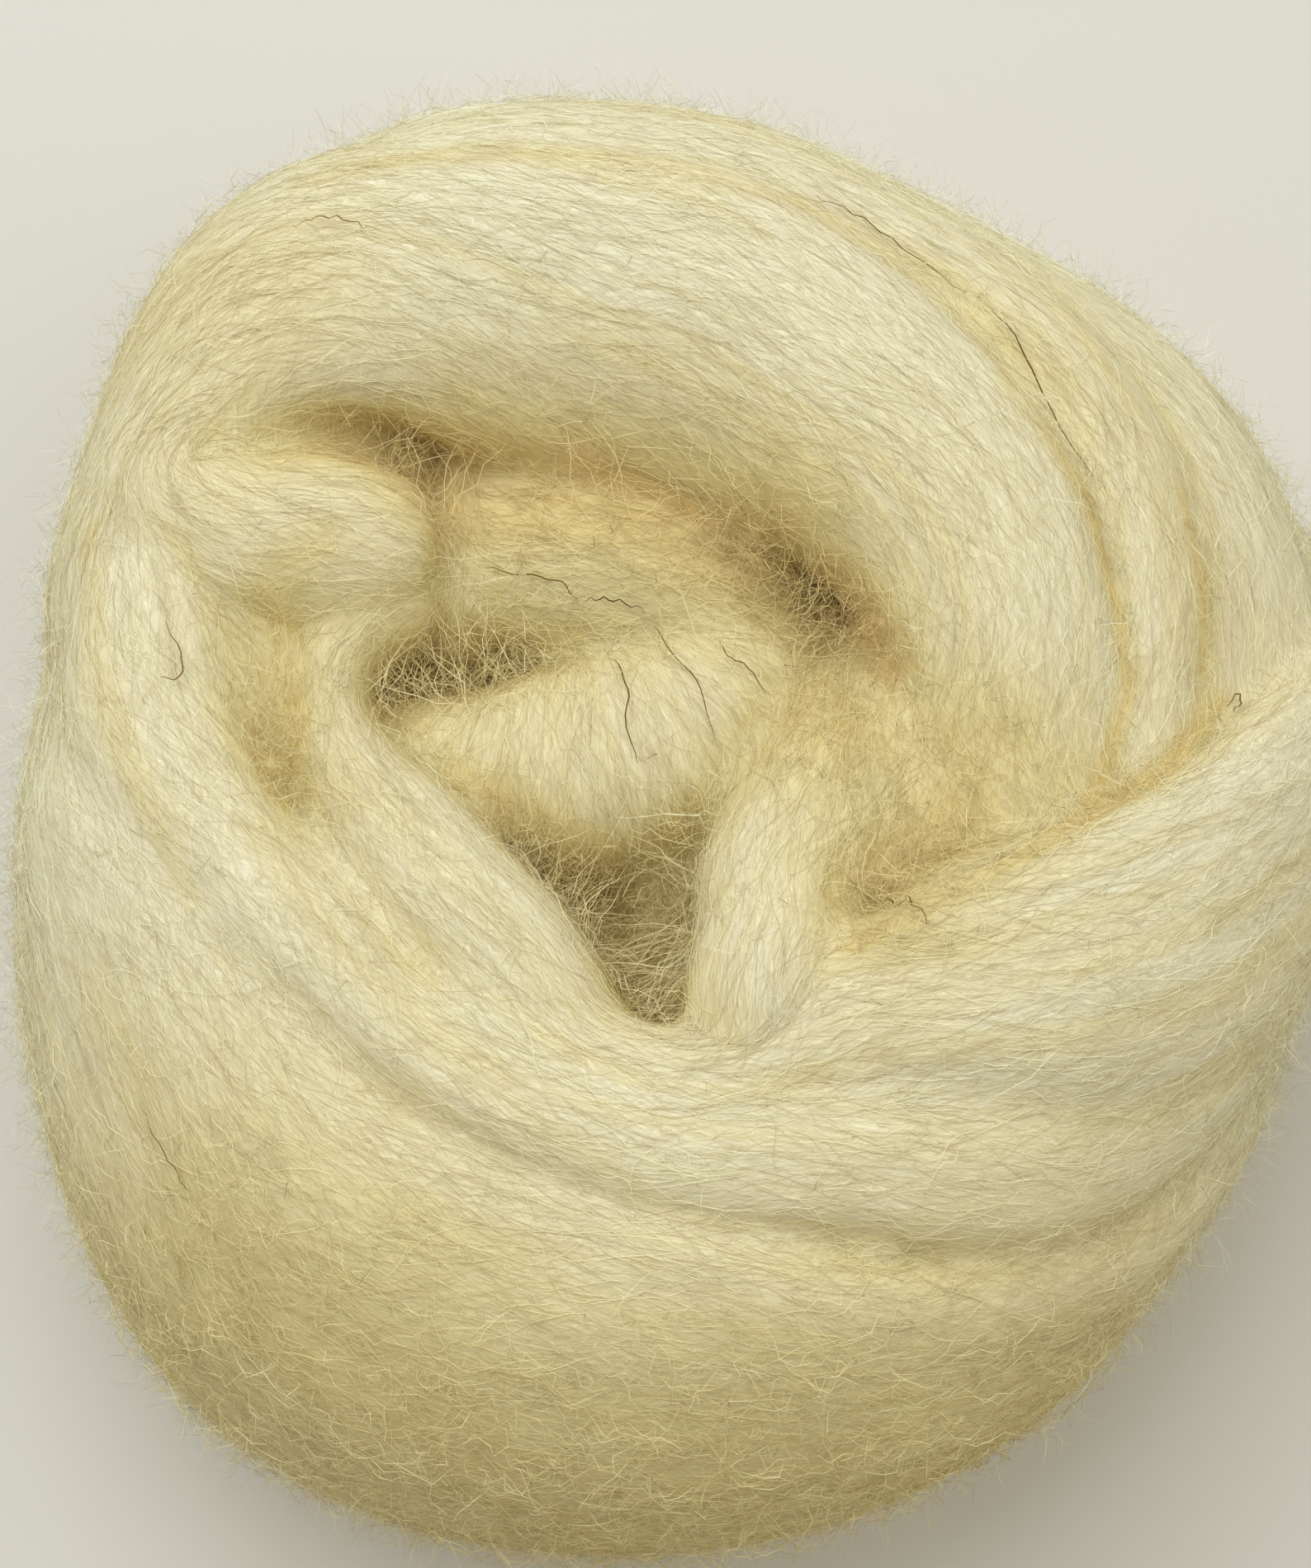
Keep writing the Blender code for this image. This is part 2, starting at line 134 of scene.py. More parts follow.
# The closed turns of the sides and the underside, spaced down the ring by a rule.
SIDE_TILTS = (14, -9, -31, -53)
SIDE_HALF_WIDTH, SIDE_HALF_THICK = 13, 7
SIDE_LIFT = -1
SIDE_WANDER = 7  # how far a side turn's tilt swings, twice on its way round
SIDE_RIPPLE = 2.8  # a second, smaller swing, three times on the way round
SIDE_PHASE = 2.1  # in radians, so that neighbouring side turns swing out of step

# A row for each section of a fold in the crater: its middle's x, y and z, and half its width and
# its thickness.
FOLDS = {
    "left_lobe": (
        (-56, 54, 54, 9, 9), (-58, 44, 58, 11, 9), (-56, 35, 60, 12, 10), (-49, 30, 61, 12, 10),
        (-42, 29, 61, 12, 10), (-35, 28, 60, 11, 10), (-30, 27, 57, 8, 8),
    ),
    "alcove": (
        (-52, 43, 57, 8, 8), (-46, 44, 57, 8, 8), (-40, 44, 56, 9, 8), (-35, 44, 52, 8, 8),
        (-31, 44, 46, 6, 8),
    ),
    "lobe_flank": (
        (-55, 25, 58, 9, 8), (-50, 19, 58, 8, 8), (-46, 13, 57, 8, 8), (-43, 7, 57, 7, 8),
        (-40, 0, 57, 6, 8), (-36, -4, 56, 5, 7),
    ),
    "left_fold": (
        (-29, 27, 54, 5, 7), (-31, 22, 58, 5, 7), (-35, 19, 59, 5, 7), (-39, 14, 60, 5, 7),
        (-39, 7, 61, 5, 7), (-36, -1, 62, 7, 8), (-30, -9, 63, 9, 8), (-24, -16, 64, 9, 8),
        (-18, -22, 64, 9, 8), (-12, -29, 63, 8, 8), (-6, -34, 61, 6, 7), (2, -38, 60, 6, 7),
        (11, -39, 58, 6, 7),
    ),
    "upper_edge": (
        (-25, 48, 46, 5, 7), (-24, 39, 52, 6, 8), (-24, 31, 54, 6, 8), (-25, 24, 52, 6, 8),
        (-26, 19, 46, 5, 7),
    ),
    "upper_lobe": (
        (-27, 34, 48, 9, 9), (-21, 32, 52, 13, 10), (-15, 31, 53, 14, 10), (-7, 29, 54, 13, 10),
        (1, 28, 53, 13, 10), (9, 26, 52, 12, 10), (17, 25, 49, 10, 9),
    ),
    "lower_lobe": (
        (-33, 9, 47, 6, 8), (-28, 4, 51, 9, 10), (-20, 2, 52, 12, 11), (-10, 3, 53, 14, 11),
        (0, 6, 53, 14, 11), (8, 12, 52, 12, 11), (13, 20, 50, 10, 10), (16, 28, 46, 8, 9),
    ),
    "tail": (
        (23, 29, 46, 6, 8), (22, 21, 50, 7, 8), (21, 14, 52, 8, 8), (20, 7, 55, 9, 8),
        (19, -1, 58, 10, 9), (17, -8, 60, 11, 9), (15, -14, 62, 11, 9), (14, -21, 65, 10, 9),
        (13, -26, 68, 10, 8), (13, -31, 69, 10, 6), (14, -35, 68, 9, 5), (14, -39, 63, 8, 4),
    ),
    "fan": (
        (19, 16, 47, 5, 7), (13, 7, 50, 7, 7), (8, 0, 51, 9, 7), (4, -7, 50, 10, 7),
        (2, -14, 47, 9, 7), (1, -21, 44, 8, 7), (3, -28, 44, 6, 7),
    ),
    "tuft": (
        (28, 22, 52, 8, 9), (30, 8, 59, 10, 9), (31, -1, 62, 12, 9), (31, -8, 62, 12, 9),
        (30, -14, 60, 11, 9), (27, -18, 57, 9, 8), (22, -20, 54, 7, 8),
    ),
}
CROSSWISE = ("lower_lobe",)  # the fibres of these folds run across them

STATIONS = 420  # steps round the ring
CORE_STEPS = 250  # steps round its section
FOLD_STEPS = 8  # sections of a fold for each row of its table
SECTION_POINTS = 28
END_SHARE = 0.12  # the part of a strand's length over which each end thins out
END_DIVE = 9  # how far an end sinks as it thins
NARROWEST = 1e-6  # the thinness of a strand where it has ended
NOWHERE = -99  # a turn's height beyond its edges, below everything else
TINY = 1e-9  # keeps a vector without a length from being divided by 0

VOXEL = 1.15
SMOOTHING, SMOOTH_STEPS = 0.5, 2
SETTLE_ROUNDS, SETTLE_STEPS = 3, 3
WEAR = 0.15  # how fast a ridge wears down, beside a cleft that fills

# The locks raised in the skin: how wide and how long they are, and how high.
Relief = namedtuple("Relief", "width length height")
LOCKS = (Relief(7, 90, 0.34), Relief(3.2, 45, 0.08))
RELIEF_STEPS = 3  # rounds of evening out, where locks of different strands meet
# How far apart neighbouring strands are in a pattern, so that they differ.
LOCK_OFFSET, STREAK_OFFSET, MAP_OFFSET = 37.3, 53.1, 61.7
LOCK_SEED, STREAK_SEED = 1, 21
NOISE_CELLS = 256  # before the noise repeats

SKY_RAYS = 20
SKY_REACH = 26  # a surface nearer than this shuts out the sky
SKY_START = 0.3  # how far off the skin its rays start

# Matted and shaded wool, where the fibres tangle and the skin's colour is painted shade, tanner
# and darker: lines on the nest, seen from above, how far each reaches on both sides, how much of
# the sky it takes off, so how much painted shade it adds, and the height below which it lies.
Mat = namedtuple("Mat", "reach share places below", defaults=(200,))
MATS_AND_PAINTED_SHADE = (
    Mat(24, 0.22, ((-34, 16), (18, 20))),  # the whole crater
    Mat(12, 0.50, ((-24, 36), (-8, 34), (12, 28))),  # its upper lobe
    Mat(13, 0.40, ((18, 4), (36, 0), (26, -16))),
    # The front is darker and tanner where it faces away from the window lamp: painted shade.
    Mat(28, 0.37, ((-50, -60), (-10, -84), (45, -76))),  # the front
    Mat(13, 0.24, ((-60, 58), (-44, 56), (-52, 36))),
    Mat(10, 0.12, ((46, 60), (60, 38), (66, 20))),
    Mat(4, 0.40, ((12, 30), (19, 25), (25, 19), (28, 11))),
    Mat(5, 0.18, ((19, 21), (15, 10), (9, 0), (-1, -8), (-4, -14), (1, -26), (6, -31))),
    Mat(4, 0.40, ((26, 14), (28, 1), (29, -11), (23, -18))),
    Mat(3, 0.40, ((-24, 0), (-16, -5), (-7, -9))),
    Mat(3, 0.35, ((-35, 39), (-23, 44), (-10, 39), (6, 32), (16, 26))),  # under the hood
    Mat(5, 0.35, ((-40, 26), (-46, 21), (-45, 13), (-43, 5))),
    Mat(2, 0.26, ((-58, 28), (-53, 20), (-44, 6), (-35, -6))),  # creases, from the left round
    Mat(2, 0.22, ((-69, 30), (-65, 11), (-60, -4), (-53, -17))),
    Mat(2, 0.24, ((-45, -9), (-35, -24), (-17, -38))),
    Mat(2, 0.2, ((-47, -9), (-38, -21), (-26, -34), (0, -51), (16, -57), (35, -57), (52, -55))),
    Mat(2.5, 0.28, ((67, 10), (57, -2), (39, -14), (21, -23))),
    Mat(2, 0.24, ((40, 45), (49, 32), (53, 19), (55, 10), (46, -12))),
    Mat(2, 0.24, ((48, 58), (60, 40), (63, 30), (64, 8))),
    Mat(2, 0.26, ((-44, 72), (-24, 75), (-8, 74), (17, 68), (34, 59), (44, 48))),
)
# Painted shade: darker lines in the middle of some creases, and a painted shadow in the hole at
# the back of the crater.
CREASES = (
    Mat(4.5, 0.9, ((-36, 50), (-30, 46), (-25, 42)), 52),
    Mat(0.7, 0.22, ((45, 40), (50, 30), (53, 19), (54, 8), (48, -9))),
    Mat(0.7, 0.20, ((62, 34), (64, 24), (64, 12))),
    Mat(0.8, 0.22, ((66, 9), (57, -2), (39, -14), (21, -23))),
    Mat(1.5, 0.25, ((-10, 39), (6, 32), (14, 27))),
    Mat(1.5, 0.30, ((20, 24), (25, 18), (27, 11))),
)
# The crease lines' painted shade goes deeper than the mats'.
CREASE_SHADE_DEPTH = 1.5  # how much more of the sky they shut out than mats do
MAT_FLOOR = 20  # mats lie above this height

# The share of the sky at which wool starts to tangle, and over which it gets there.
TANGLE_SKY, TANGLE_RANGE = 0.8, 0.5
# Where the wool lies smooth although it is shaded: places on the nest, and how far they reach.
CALM = ((-38, 47, 16), (-21, 44, 15), (2, 40, 11), (-62, 40, 10))

# Yellower streaks along the strands: how wide and how long they are.
STREAKS = (Relief(1.6, 40, 1.0), Relief(5.5, 80, 0.3))
# The streaks' colour gathers in the hollows between the locks as painted shade, and thins on the
# ridges.
PAINTED_HOLLOW_SHADE = 0.5  # how much more of them there is between the locks

# Fibres laid on the skin, or standing out of it. steps and step are how many steps a fibre has and
# how long they are. open, matted and flank are how densely they lie on open wool, in mats and round
# the sides, stray is how far a heading is off the strand's run, wander how much it turns at each
# step, lift how high its middle lies, rise how high its free end stands, and bend how late it gets
# there. curl is how far it weaves from side to side, and twist how far its flat section turns.
Fibres = namedtuple(
    "Fibres",
    "name seed count steps step open matted flank width stray wander lift rise bend curl twist",
)
FIBRES = (
    Fibres("laid_fibres_a", 11, 12000, 6, 2.1, 1, 1.5, 1.3, 0.08, 9, 5, 0.22, 0, 1, 0.17, 40),
    Fibres("laid_fibres_b", 12, 12000, 6, 2.1, 1, 1.5, 1.3, 0.08, 9, 5, 0.22, 0, 1, 0.17, 40),
    Fibres("loose_fibres", 13, 9000, 6, 1.5, 1, 2, 1.3, 0.075, 24, 12, 0.5, 0.5, 1.6, 0.35, 80),
    Fibres("fuzz", 14, 12000, 4, 1.0, 1, 1, 2, 0.055, 40, 22, 0.1, 2.0, 1.3, 0.35, 200),
    Fibres("halo", 18, 22000, 4, 1.0, 1, 0, 12, 0.06, 50, 36, 0, 3.5, 0.9, 0.75, 200),
    Fibres("tangled_fibres", 17, 7000, 6, 1.5, 0, 1, 0.5, 0.08, 14, 26, 1.4, 1.4, 1.6, 0.6, 120),
)
DIRECTION_ROUNDS = 12  # of evening out the way that fibres run
STEP_SHARES = (0.6, 1.3)  # the lengths of their steps, as shares of their kind's
BOW_SHARES = (0.1, 1.6)  # and so the heights of their middles
STAND_MEAN, STAND_MOST = 0.5, 1.7  # and so their free ends' mean and greatest height
CLEARANCE = 0.02  # how high the lowest of them lie
WEAVE_SPEEDS = (1.0, 2.6)  # in radians for each step
WEAVE_SHARES = (0.3, 1.7)  # how far they weave, as shares of their kind's curl
WEAVE_OUT = 0.5  # how far they weave out and in, as a share of from side to side
TAPER = 0.65  # how much narrower they are at both ends
MATTED_STRAY = 4  # how many times as far fibres stray in a mat
FLANK = 0.45  # the sides are where the skin's normal is less steep than this
UNDERSIDE_SHARE = 0.3  # how densely the fibres lie underneath

# Fibres that cross a pit or a crease from side to side.
WEB_NAME, WEB_SEED, WEB_COUNT, WEB_STEPS = "crossing_fibres", 15, 6000, 6
WEB_TRIES = 40000  # starts, until there are enough
WEB_EDGE = 1.1  # they start mostly halfway from no tangle to this much
WEB_OUT = 0.3  # how much more than at random they head out of the skin
WEB_START = 0.4  # how far off the skin their search starts
WEB_REACH = (4, 15)  # how long they are
WEB_CLEARANCE = 1.5  # how far its middle is from the skin
WEB_WIDTH, WEB_CURL, WEB_TWIST = 0.09, 0.6, 120
# The crossing fibres take painted shade from the skin at their ends, a little lighter by this share
# of the sky.
WEB_LIGHTER = 0.05  # how much more sky they see than the skin at their ends

# A fibre's own cell in the map for baking is so many times as wide as it is high.
CELL_SHAPE, CELL_MARGIN = 8, 0.25

# Stray dark hairs, as places on the nest seen from above.
HAIRS = (
    ((-58, 16), (-56, 12), (-56, 9), (-58, 9)),
    ((-58, -39), (-56, -43), (-54, -46), (-52, -49)),
    ((-6, 14), (-4, 11), (-4, 7), (-3, 1)),
    ((-21, 26), (-16, 25), (-12, 24), (-10, 22)),
    ((-9, 22), (-6, 22), (-2, 21)),
    ((-1, 19), (2, 14), (5, 9), (6, 4)),
    ((7, 16), (8, 14), (10, 13), (12, 10)),
    ((18, 69), (23, 67), (28, 63), (36, 57)),
    ((39, 55), (43, 50), (45, 43), (50, 34)),
    ((-44, 64), (-40, 65), (-35, 63)),
    ((66, 8), (68, 10), (68, 8), (67, 7)),
    ((25, -17), (27, -19), (28, -18), (30, -21)),
)
HAIR_SEED = 16
HAIR_WIDTH, HAIR_STEPS, HAIR_CURL, HAIR_TWIST = 0.19, 14, 0.22, 30
HAIR_LIFT = 1.1  # how far over the skin they lie, on the fibres
DROP_HEIGHT = 200  # where the search for the skin under them starts


def unit(vectors):
    return vectors / np.maximum(np.linalg.norm(vectors, axis=-1, keepdims=True), TINY)


def smooth_row(values, at, closed):
    """A cubic through evenly spaced rows of values. at runs from 0 to the last row's number."""
    values = np.asarray(values, float)
    count = len(values)
    first = np.floor(at).astype(int)
    if not closed:
        first = np.clip(first, 0, count - 2)
    part = (at - first)[:, None]

    def pick(step):
        index = first + step
        return values[index % count] if closed else values[np.clip(index, 0, count - 1)]

    before, here, after, beyond = (pick(step).reshape(len(at), -1) for step in (-1, 0, 1, 2))
    return 0.5 * (
        2 * here
        + (after - before) * part
        + (2 * before - 5 * here + 4 * after - beyond) * part**2
        + (3 * here - before - 3 * after + beyond) * part**3
    )


def ring_sizes(turn):
    """The ring's sizes at these turn angles, in the order of its columns."""
    rows = [section[1:] for section in RING]
    step = 360 / len(RING)
    return smooth_row(rows, np.ravel(turn) / step, closed=True).T.reshape(4, *np.shape(turn))


def ring_place(turn, tilt, lift):
    """Points that stand lift millimetres out of the ring."""
    crater, crest, reach, rise = ring_sizes(turn)
    reach = reach - PROUD
    turn, tilt = np.radians(turn), np.radians(tilt)
    out, up = np.cos(tilt), np.sin(tilt)
    foot = FOOT_SHARE * reach
    hub = np.where(up >= 0, crest, foot)
    wide = np.where(out >= 0, reach - hub, hub - np.where(up >= 0, crater, 0))
    tall = np.where(up >= 0, rise, DROP)
    normal_out, normal_up = out / wide, up / tall
    size = np.hypot(normal_out, normal_up)
    radius = hub + wide * out + lift * normal_out / size
    height = MID_HEIGHT + tall * up + lift * normal_up / size
    return np.stack(
        [CENTRE_X + radius * np.cos(turn), CENTRE_Y + radius * np.sin(turn), height], axis=-1
    )


def ends(along):
    """1 along a strand, falling to 0 in a round nose at each end."""
    near = np.clip(np.minimum(along, 1 - along) / END_SHARE, 0, 1)
    return np.sqrt(1 - (1 - near) ** 2)


def angles():
    """The angles round a section. They start underneath, where the strand is hidden."""
    return np.linspace(0, 2 * math.pi, SECTION_POINTS, endpoint=False) - math.pi / 2


def spread(values, along):
    """values spread evenly from one end of a strand to the other, read at each share of it."""
    if len(values) == 1:
        return np.full(len(along), float(values[0]))
    return np.interp(along, np.linspace(0, 1, len(values)), values)


class Winding:
    """The strands laid on the ring: their height, and which one is on top and how it runs there."""

    def __init__(self):
        turn = np.linspace(0, 360, STATIONS, endpoint=False)
        tilt = np.linspace(-90, CRATER_TILT, CORE_STEPS)
        self.turn, self.tilt = np.broadcast_arrays(turn[:, None], tilt[None, :])
        level = ring_place(self.turn, self.tilt, 0)
        self.per_turn = np.linalg.norm(ring_place(self.turn + 1, self.tilt, 0) - level, axis=-1)
        self.per_tilt = np.linalg.norm(ring_place(self.turn, self.tilt + 1, 0) - level, axis=-1)
        self.arc = np.cumsum(self.per_tilt, axis=1) * (tilt[1] - tilt[0])
        under = np.interp(self.tilt, CORE_TILTS, CORE_LIFTS)
        flat = np.zeros(self.turn.shape)
        self.layers = [(under, flat, self.turn * 1.0, self.arc)]
        for row in TURNS.values():
            run = self.lay_turn(row, 0, 0)
            self.lay_turn(row, 360, run)
        for number, middle in enumerate(SIDE_TILTS):
            self.lay_side(number, middle)
        heights = np.stack([layer[0] for layer in self.layers])
        self.top = np.argmax(heights, axis=0)
        self.height = BLEND * np.log(np.sum(np.exp((heights - heights.max(0)) / BLEND), axis=0))
        self.height += heights.max(0)
        parts = [np.stack([layer[part] for layer in self.layers]) for part in (1, 2, 3)]
        self.slope, self.run, self.side = (
            np.take_along_axis(part, self.top[None], 0)[0] for part in parts
        )
        self.places = ring_place(self.turn, self.tilt, self.height)

    def lay(self, turn, middle, half_width, half_thick, lift, lean, thin, inside, start=0):
        """One strand along these turn angles, over the middle tilts. It gives its length."""
        rows = range(len(turn))
        own = [int(np.argmin(np.abs(self.tilt[i] - middle[i]))) for i in rows]
        slope = np.gradient(middle) / np.gradient(turn)
        per_turn, per_tilt = self.per_turn[rows, own], self.per_tilt[rows, own]
        middle_arc = [np.interp(middle[i], self.tilt[i], self.arc[i]) for i in rows]
        length = np.hypot(per_turn, slope * per_tilt)
        off = (self.arc - np.array(middle_arc)[:, None]) * (per_turn / length)[:, None]
        share = off / (OVERLAP * half_width * np.sqrt(np.maximum(thin, NARROWEST)))[:, None]
        crown = np.clip(1 - share**2, 0, None) ** (FLATNESS / 2)
        height = (lift - END_DIVE * (1 - thin))[:, None] + lean[:, None] * share
        height = height + half_thick * thin[:, None] * crown
        height = np.where((np.abs(share) < 1) & inside[:, None], height, NOWHERE)
        run = start + np.cumsum(length) * (turn[1] - turn[0])
        slopes, runs, _ = np.broadcast_arrays(slope[:, None], run[:, None], off)
        self.layers.append((height, slopes, runs, off))
        return run[-1]

    def lay_turn(self, row, lap, start):
        turn = self.turn[:, 0] + lap
        along = np.clip((turn - row.first) / (row.last - row.first), 0, 1)
        middle = smooth_row(row.tilts, along * (len(row.tilts) - 1), closed=False)[:, 0]
        half_width = spread(row.half_widths, along)
        lift, lean = spread(row.lifts, along), spread(row.leans, along)
        inside = (turn > row.first) & (turn < row.last)
        sizes = half_width, row.half_thick, lift, lean
        return self.lay(turn, middle, *sizes, ends(along), inside, start)

    def lay_side(self, number, middle):
        turn = self.turn[:, 0]
        phase = SIDE_PHASE * number
        wander = SIDE_WANDER * np.sin(np.radians(turn) * 2 + phase)
        wander += SIDE_RIPPLE * np.sin(np.radians(turn) * 3 - phase)
        whole = np.ones(len(turn))
        sizes = SIDE_HALF_WIDTH * whole, SIDE_HALF_THICK, SIDE_LIFT * whole, 0 * whole
        self.lay(turn, middle + wander, *sizes, whole, whole > 0)


def fold_sections(rows):
    """Sections of a strand that runs free, through the rows of a fold."""
    along = np.linspace(0, 1, FOLD_STEPS * len(rows))
    values = smooth_row(rows, along * (len(rows) - 1), closed=False)
    middle = values[:, :3]
    half_width, half_thick = values[:, 3:].T
    ahead = unit(np.gradient(middle, axis=0))
    level = unit(np.cross([0, 0, 1], ahead))
    upright = np.cross(ahead, level)
    thin = ends(along)
    across = (half_width * thin)[:, None] * np.cos(angles())
    out = (half_thick * thin)[:, None] * np.sin(angles())
    return middle[:, None] + across[..., None] * level[:, None] + out[..., None] * upright[:, None]


def grid_faces(long, wide, ring, tube):
    """The quads of a grid of points, long by wide, joined where it closes on itself."""
    i = np.arange(long if ring else long - 1)[:, None]
    j = np.arange(wide if tube else wide - 1)[None, :]
    ahead, beside = (i + 1) % long, (j + 1) % wide
    corners = (i * wide + j, i * wide + beside, ahead * wide + beside, ahead * wide + j)
    return np.stack(np.broadcast_arrays(*corners), axis=-1).reshape(-1, 4)


def wound_mesh(winding, folds):
    """The wound ring and the folds as closed shapes that still pass through one another."""
    long, wide = winding.turn.shape
    points = [winding.places.reshape(-1, 3)]
    faces = grid_faces(long, wide, ring=True, tube=False).tolist()
    start = long * wide
    for column, height in ((wide - 1, CRATER_FLOOR), (0, MID_HEIGHT - DROP - PROUD)):
        points.append(np.array([[CENTRE_X, CENTRE_Y, height]], float))
        rim = np.arange(long) * wide + column
        faces += [[a, b, start] for a, b in zip(rim.tolist(), np.roll(rim, -1).tolist())]
        start += 1
    for sections in folds.values():
        long, wide = sections.shape[:2]
        points.append(sections.reshape(-1, 3))
        faces += (grid_faces(long, wide, ring=False, tube=True) + start).tolist()
        faces.append(list(range(start, start + wide)))
        faces.append(list(range(start + (long - 1) * wide, start + long * wide)))
        start += long * wide
    mesh = bpy.data.meshes.new("strands")
    mesh.from_pydata((np.concatenate(points) * MM).tolist(), [], faces)
    shape = bmesh.new()
    shape.from_mesh(mesh)
    bmesh.ops.recalc_face_normals(shape, faces=shape.faces)
    shape.to_mesh(mesh)
    shape.free()
    return mesh


def largest_shell(mesh):
    """Deletes all but the largest shell of a mesh."""
    shape = bmesh.new()
    shape.from_mesh(mesh)
    left = set(shape.verts)
    shells = []
    while left:
        shell, front = set(), [left.pop()]
        while front:
            vertex = front.pop()
            shell.add(vertex)
            for edge in vertex.link_edges:
                other = edge.other_vert(vertex)
                if other in left:
                    left.discard(other)
                    front.append(other)
        shells.append(shell)
    shells.sort(key=len)
    inner = [vertex for shell in shells[:-1] for vertex in shell]
    bmesh.ops.delete(shape, geom=inner, context="VERTS")
    shape.to_mesh(mesh)
    shape.free()


def read_vectors(items, name):
    values = np.empty(len(items) * 3, np.float32)
    items.foreach_get(name, values)
    return values.reshape(-1, 3).astype(float)


def read_points(mesh):
    """A mesh's points, in millimetres."""
    return read_vectors(mesh.vertices, "co") / MM


def write_points(mesh, places):
    mesh.vertices.foreach_set("co", (places * MM).astype(np.float32).ravel())
    mesh.update()


def write_values(mesh, name, values):
    layer = mesh.attributes.new(name, "FLOAT", "POINT")
    layer.data.foreach_set("value", np.ravel(values).astype(np.float32))


def write_map(mesh, name, pairs):
    layer = mesh.uv_layers.new(name=name)
    layer.data.foreach_set("uv", pairs.astype(np.float32).ravel())


def add_object(name, data):
    item = bpy.data.objects.new(name, data)
    bpy.context.collection.objects.link(item)
    return item


def dress(piece, material):
    """Gives a piece of the nest its material and its place in the table."""
    piece.data.shade_smooth()
    piece.data.materials.clear()
    piece.data.materials.append(material)
    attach(piece, "root")


def neighbours(mesh):
    """The two ends of every edge, and how many edges meet at each point."""
    edges = np.empty(len(mesh.edges) * 2, np.int32)
    mesh.edges.foreach_get("vertices", edges)
    a, b = edges.reshape(-1, 2).T
    return a, b, np.bincount(edges, minlength=len(mesh.vertices))[:, None]


def sum_over_edges(values, a, b, count):
    """For each point, the sum of the values of the points that edges join it to."""
    columns = []
    for column in values.T:
        total = np.bincount(a, column[b], count) + np.bincount(b, column[a], count)
        columns.append(total)
    return np.stack(columns, axis=1)


def settle(mesh):
    """Evens out a mesh, filling its clefts faster than it wears down its ridges."""
    places = read_vectors(mesh.vertices, "co")
    a, b, meeting = neighbours(mesh)
    for _ in range(SETTLE_ROUNDS):
        normals = read_vectors(mesh.vertex_normals, "vector")
        for _ in range(SETTLE_STEPS):
            move = sum_over_edges(places, a, b, len(places)) / meeting - places
            out = np.sum(move * normals, axis=1)[:, None]
            move += np.where(out > 0, 0, WEAR - 1) * out * normals
            places += SMOOTHING * move
        mesh.vertices.foreach_set("co", places.astype(np.float32).ravel())
        mesh.update()


def joined_skin(winding, folds):
    """One closed skin round all the strands."""
    skin = add_object("wool_skin", wound_mesh(winding, folds))
    join = skin.modifiers.new("join the folds", "REMESH")
    join.mode = "VOXEL"
    join.voxel_size = VOXEL * MM
    soften = skin.modifiers.new("soften", "SMOOTH")
    soften.factor = SMOOTHING
    soften.iterations = SMOOTH_STEPS
    bpy.context.view_layer.update()
    graph = bpy.context.evaluated_depsgraph_get()
    mesh = bpy.data.meshes.new_from_object(skin.evaluated_get(graph), depsgraph=graph)
    skin.modifiers.clear()
    skin.data = mesh
    largest_shell(mesh)
    settle(mesh)
    return skin


class Samples:
    """Points on all the strands, with the way that their fibres run there."""

    def __init__(self, winding, folds, shift):
        self.parts = []
        around = self.step(winding.places, 1, False)
        along = self.step(winding.places, 0, True) / (360 / STATIONS)
        step = winding.tilt[0, 1] - winding.tilt[0, 0]
        along += around / step * winding.slope[..., None]
        self.add(winding.places, along, around, winding.run, winding.side, winding.top)
        for number, (name, sections) in enumerate(folds.items()):
            along, around = self.step(sections, 0, False), self.step(sections, 1, True)
            run = np.cumsum(np.linalg.norm(along, axis=-1).mean(axis=1))[:, None]
            side = np.cumsum(np.linalg.norm(around, axis=-1).mean(axis=0))[None, :]
            if name in CROSSWISE:
                along, around, run, side = around, along, side, run
            self.add(sections, along, around, run, side, len(winding.layers) + number)
        self.places, self.ahead, self.aside, self.runs, self.sides, self.numbers = (
            np.concatenate(part) for part in zip(*self.parts)
        )
        self.places = self.places + shift
        self.tree = self.tree_of(np.arange(len(self.places)))
        self.trees = {}

    def add(self, places, along, around, *values):
        vectors = [vector.reshape(-1, 3) for vector in (places, unit(along), unit(around))]
        values = [np.broadcast_to(value, places.shape[:2]).ravel() for value in values]
        self.parts.append(vectors + values)

    @staticmethod
    def step(grid, axis, closed):
        """The way to the next point, taken between the points on both sides."""
        if closed:
            return (np.roll(grid, -1, axis) - np.roll(grid, 1, axis)) / 2
        return np.gradient(grid, axis=axis)

    def tree_of(self, indices):
        tree = KDTree(len(indices))
        for index in indices.tolist():
            tree.insert(self.places[index], index)
        tree.balance()
        return tree

    def nearest(self, places):
        return np.array([self.tree.find(place)[1] for place in places.tolist()])

    def nearest_of(self, number, place):
        """The nearest sample of one strand."""
        if number not in self.trees:
            self.trees[number] = self.tree_of(np.flatnonzero(self.numbers == number))
        return self.trees[number].find(place)[1]

    def where(self, places, index):
        """How far along its strand, and how far round it, each place lies, in millimetres."""
        off = places - self.places[index]
        run = self.runs[index] + np.sum(off * self.ahead[index], axis=1)
        side = self.sides[index] + np.sum(off * self.aside[index], axis=1)
        return run, side


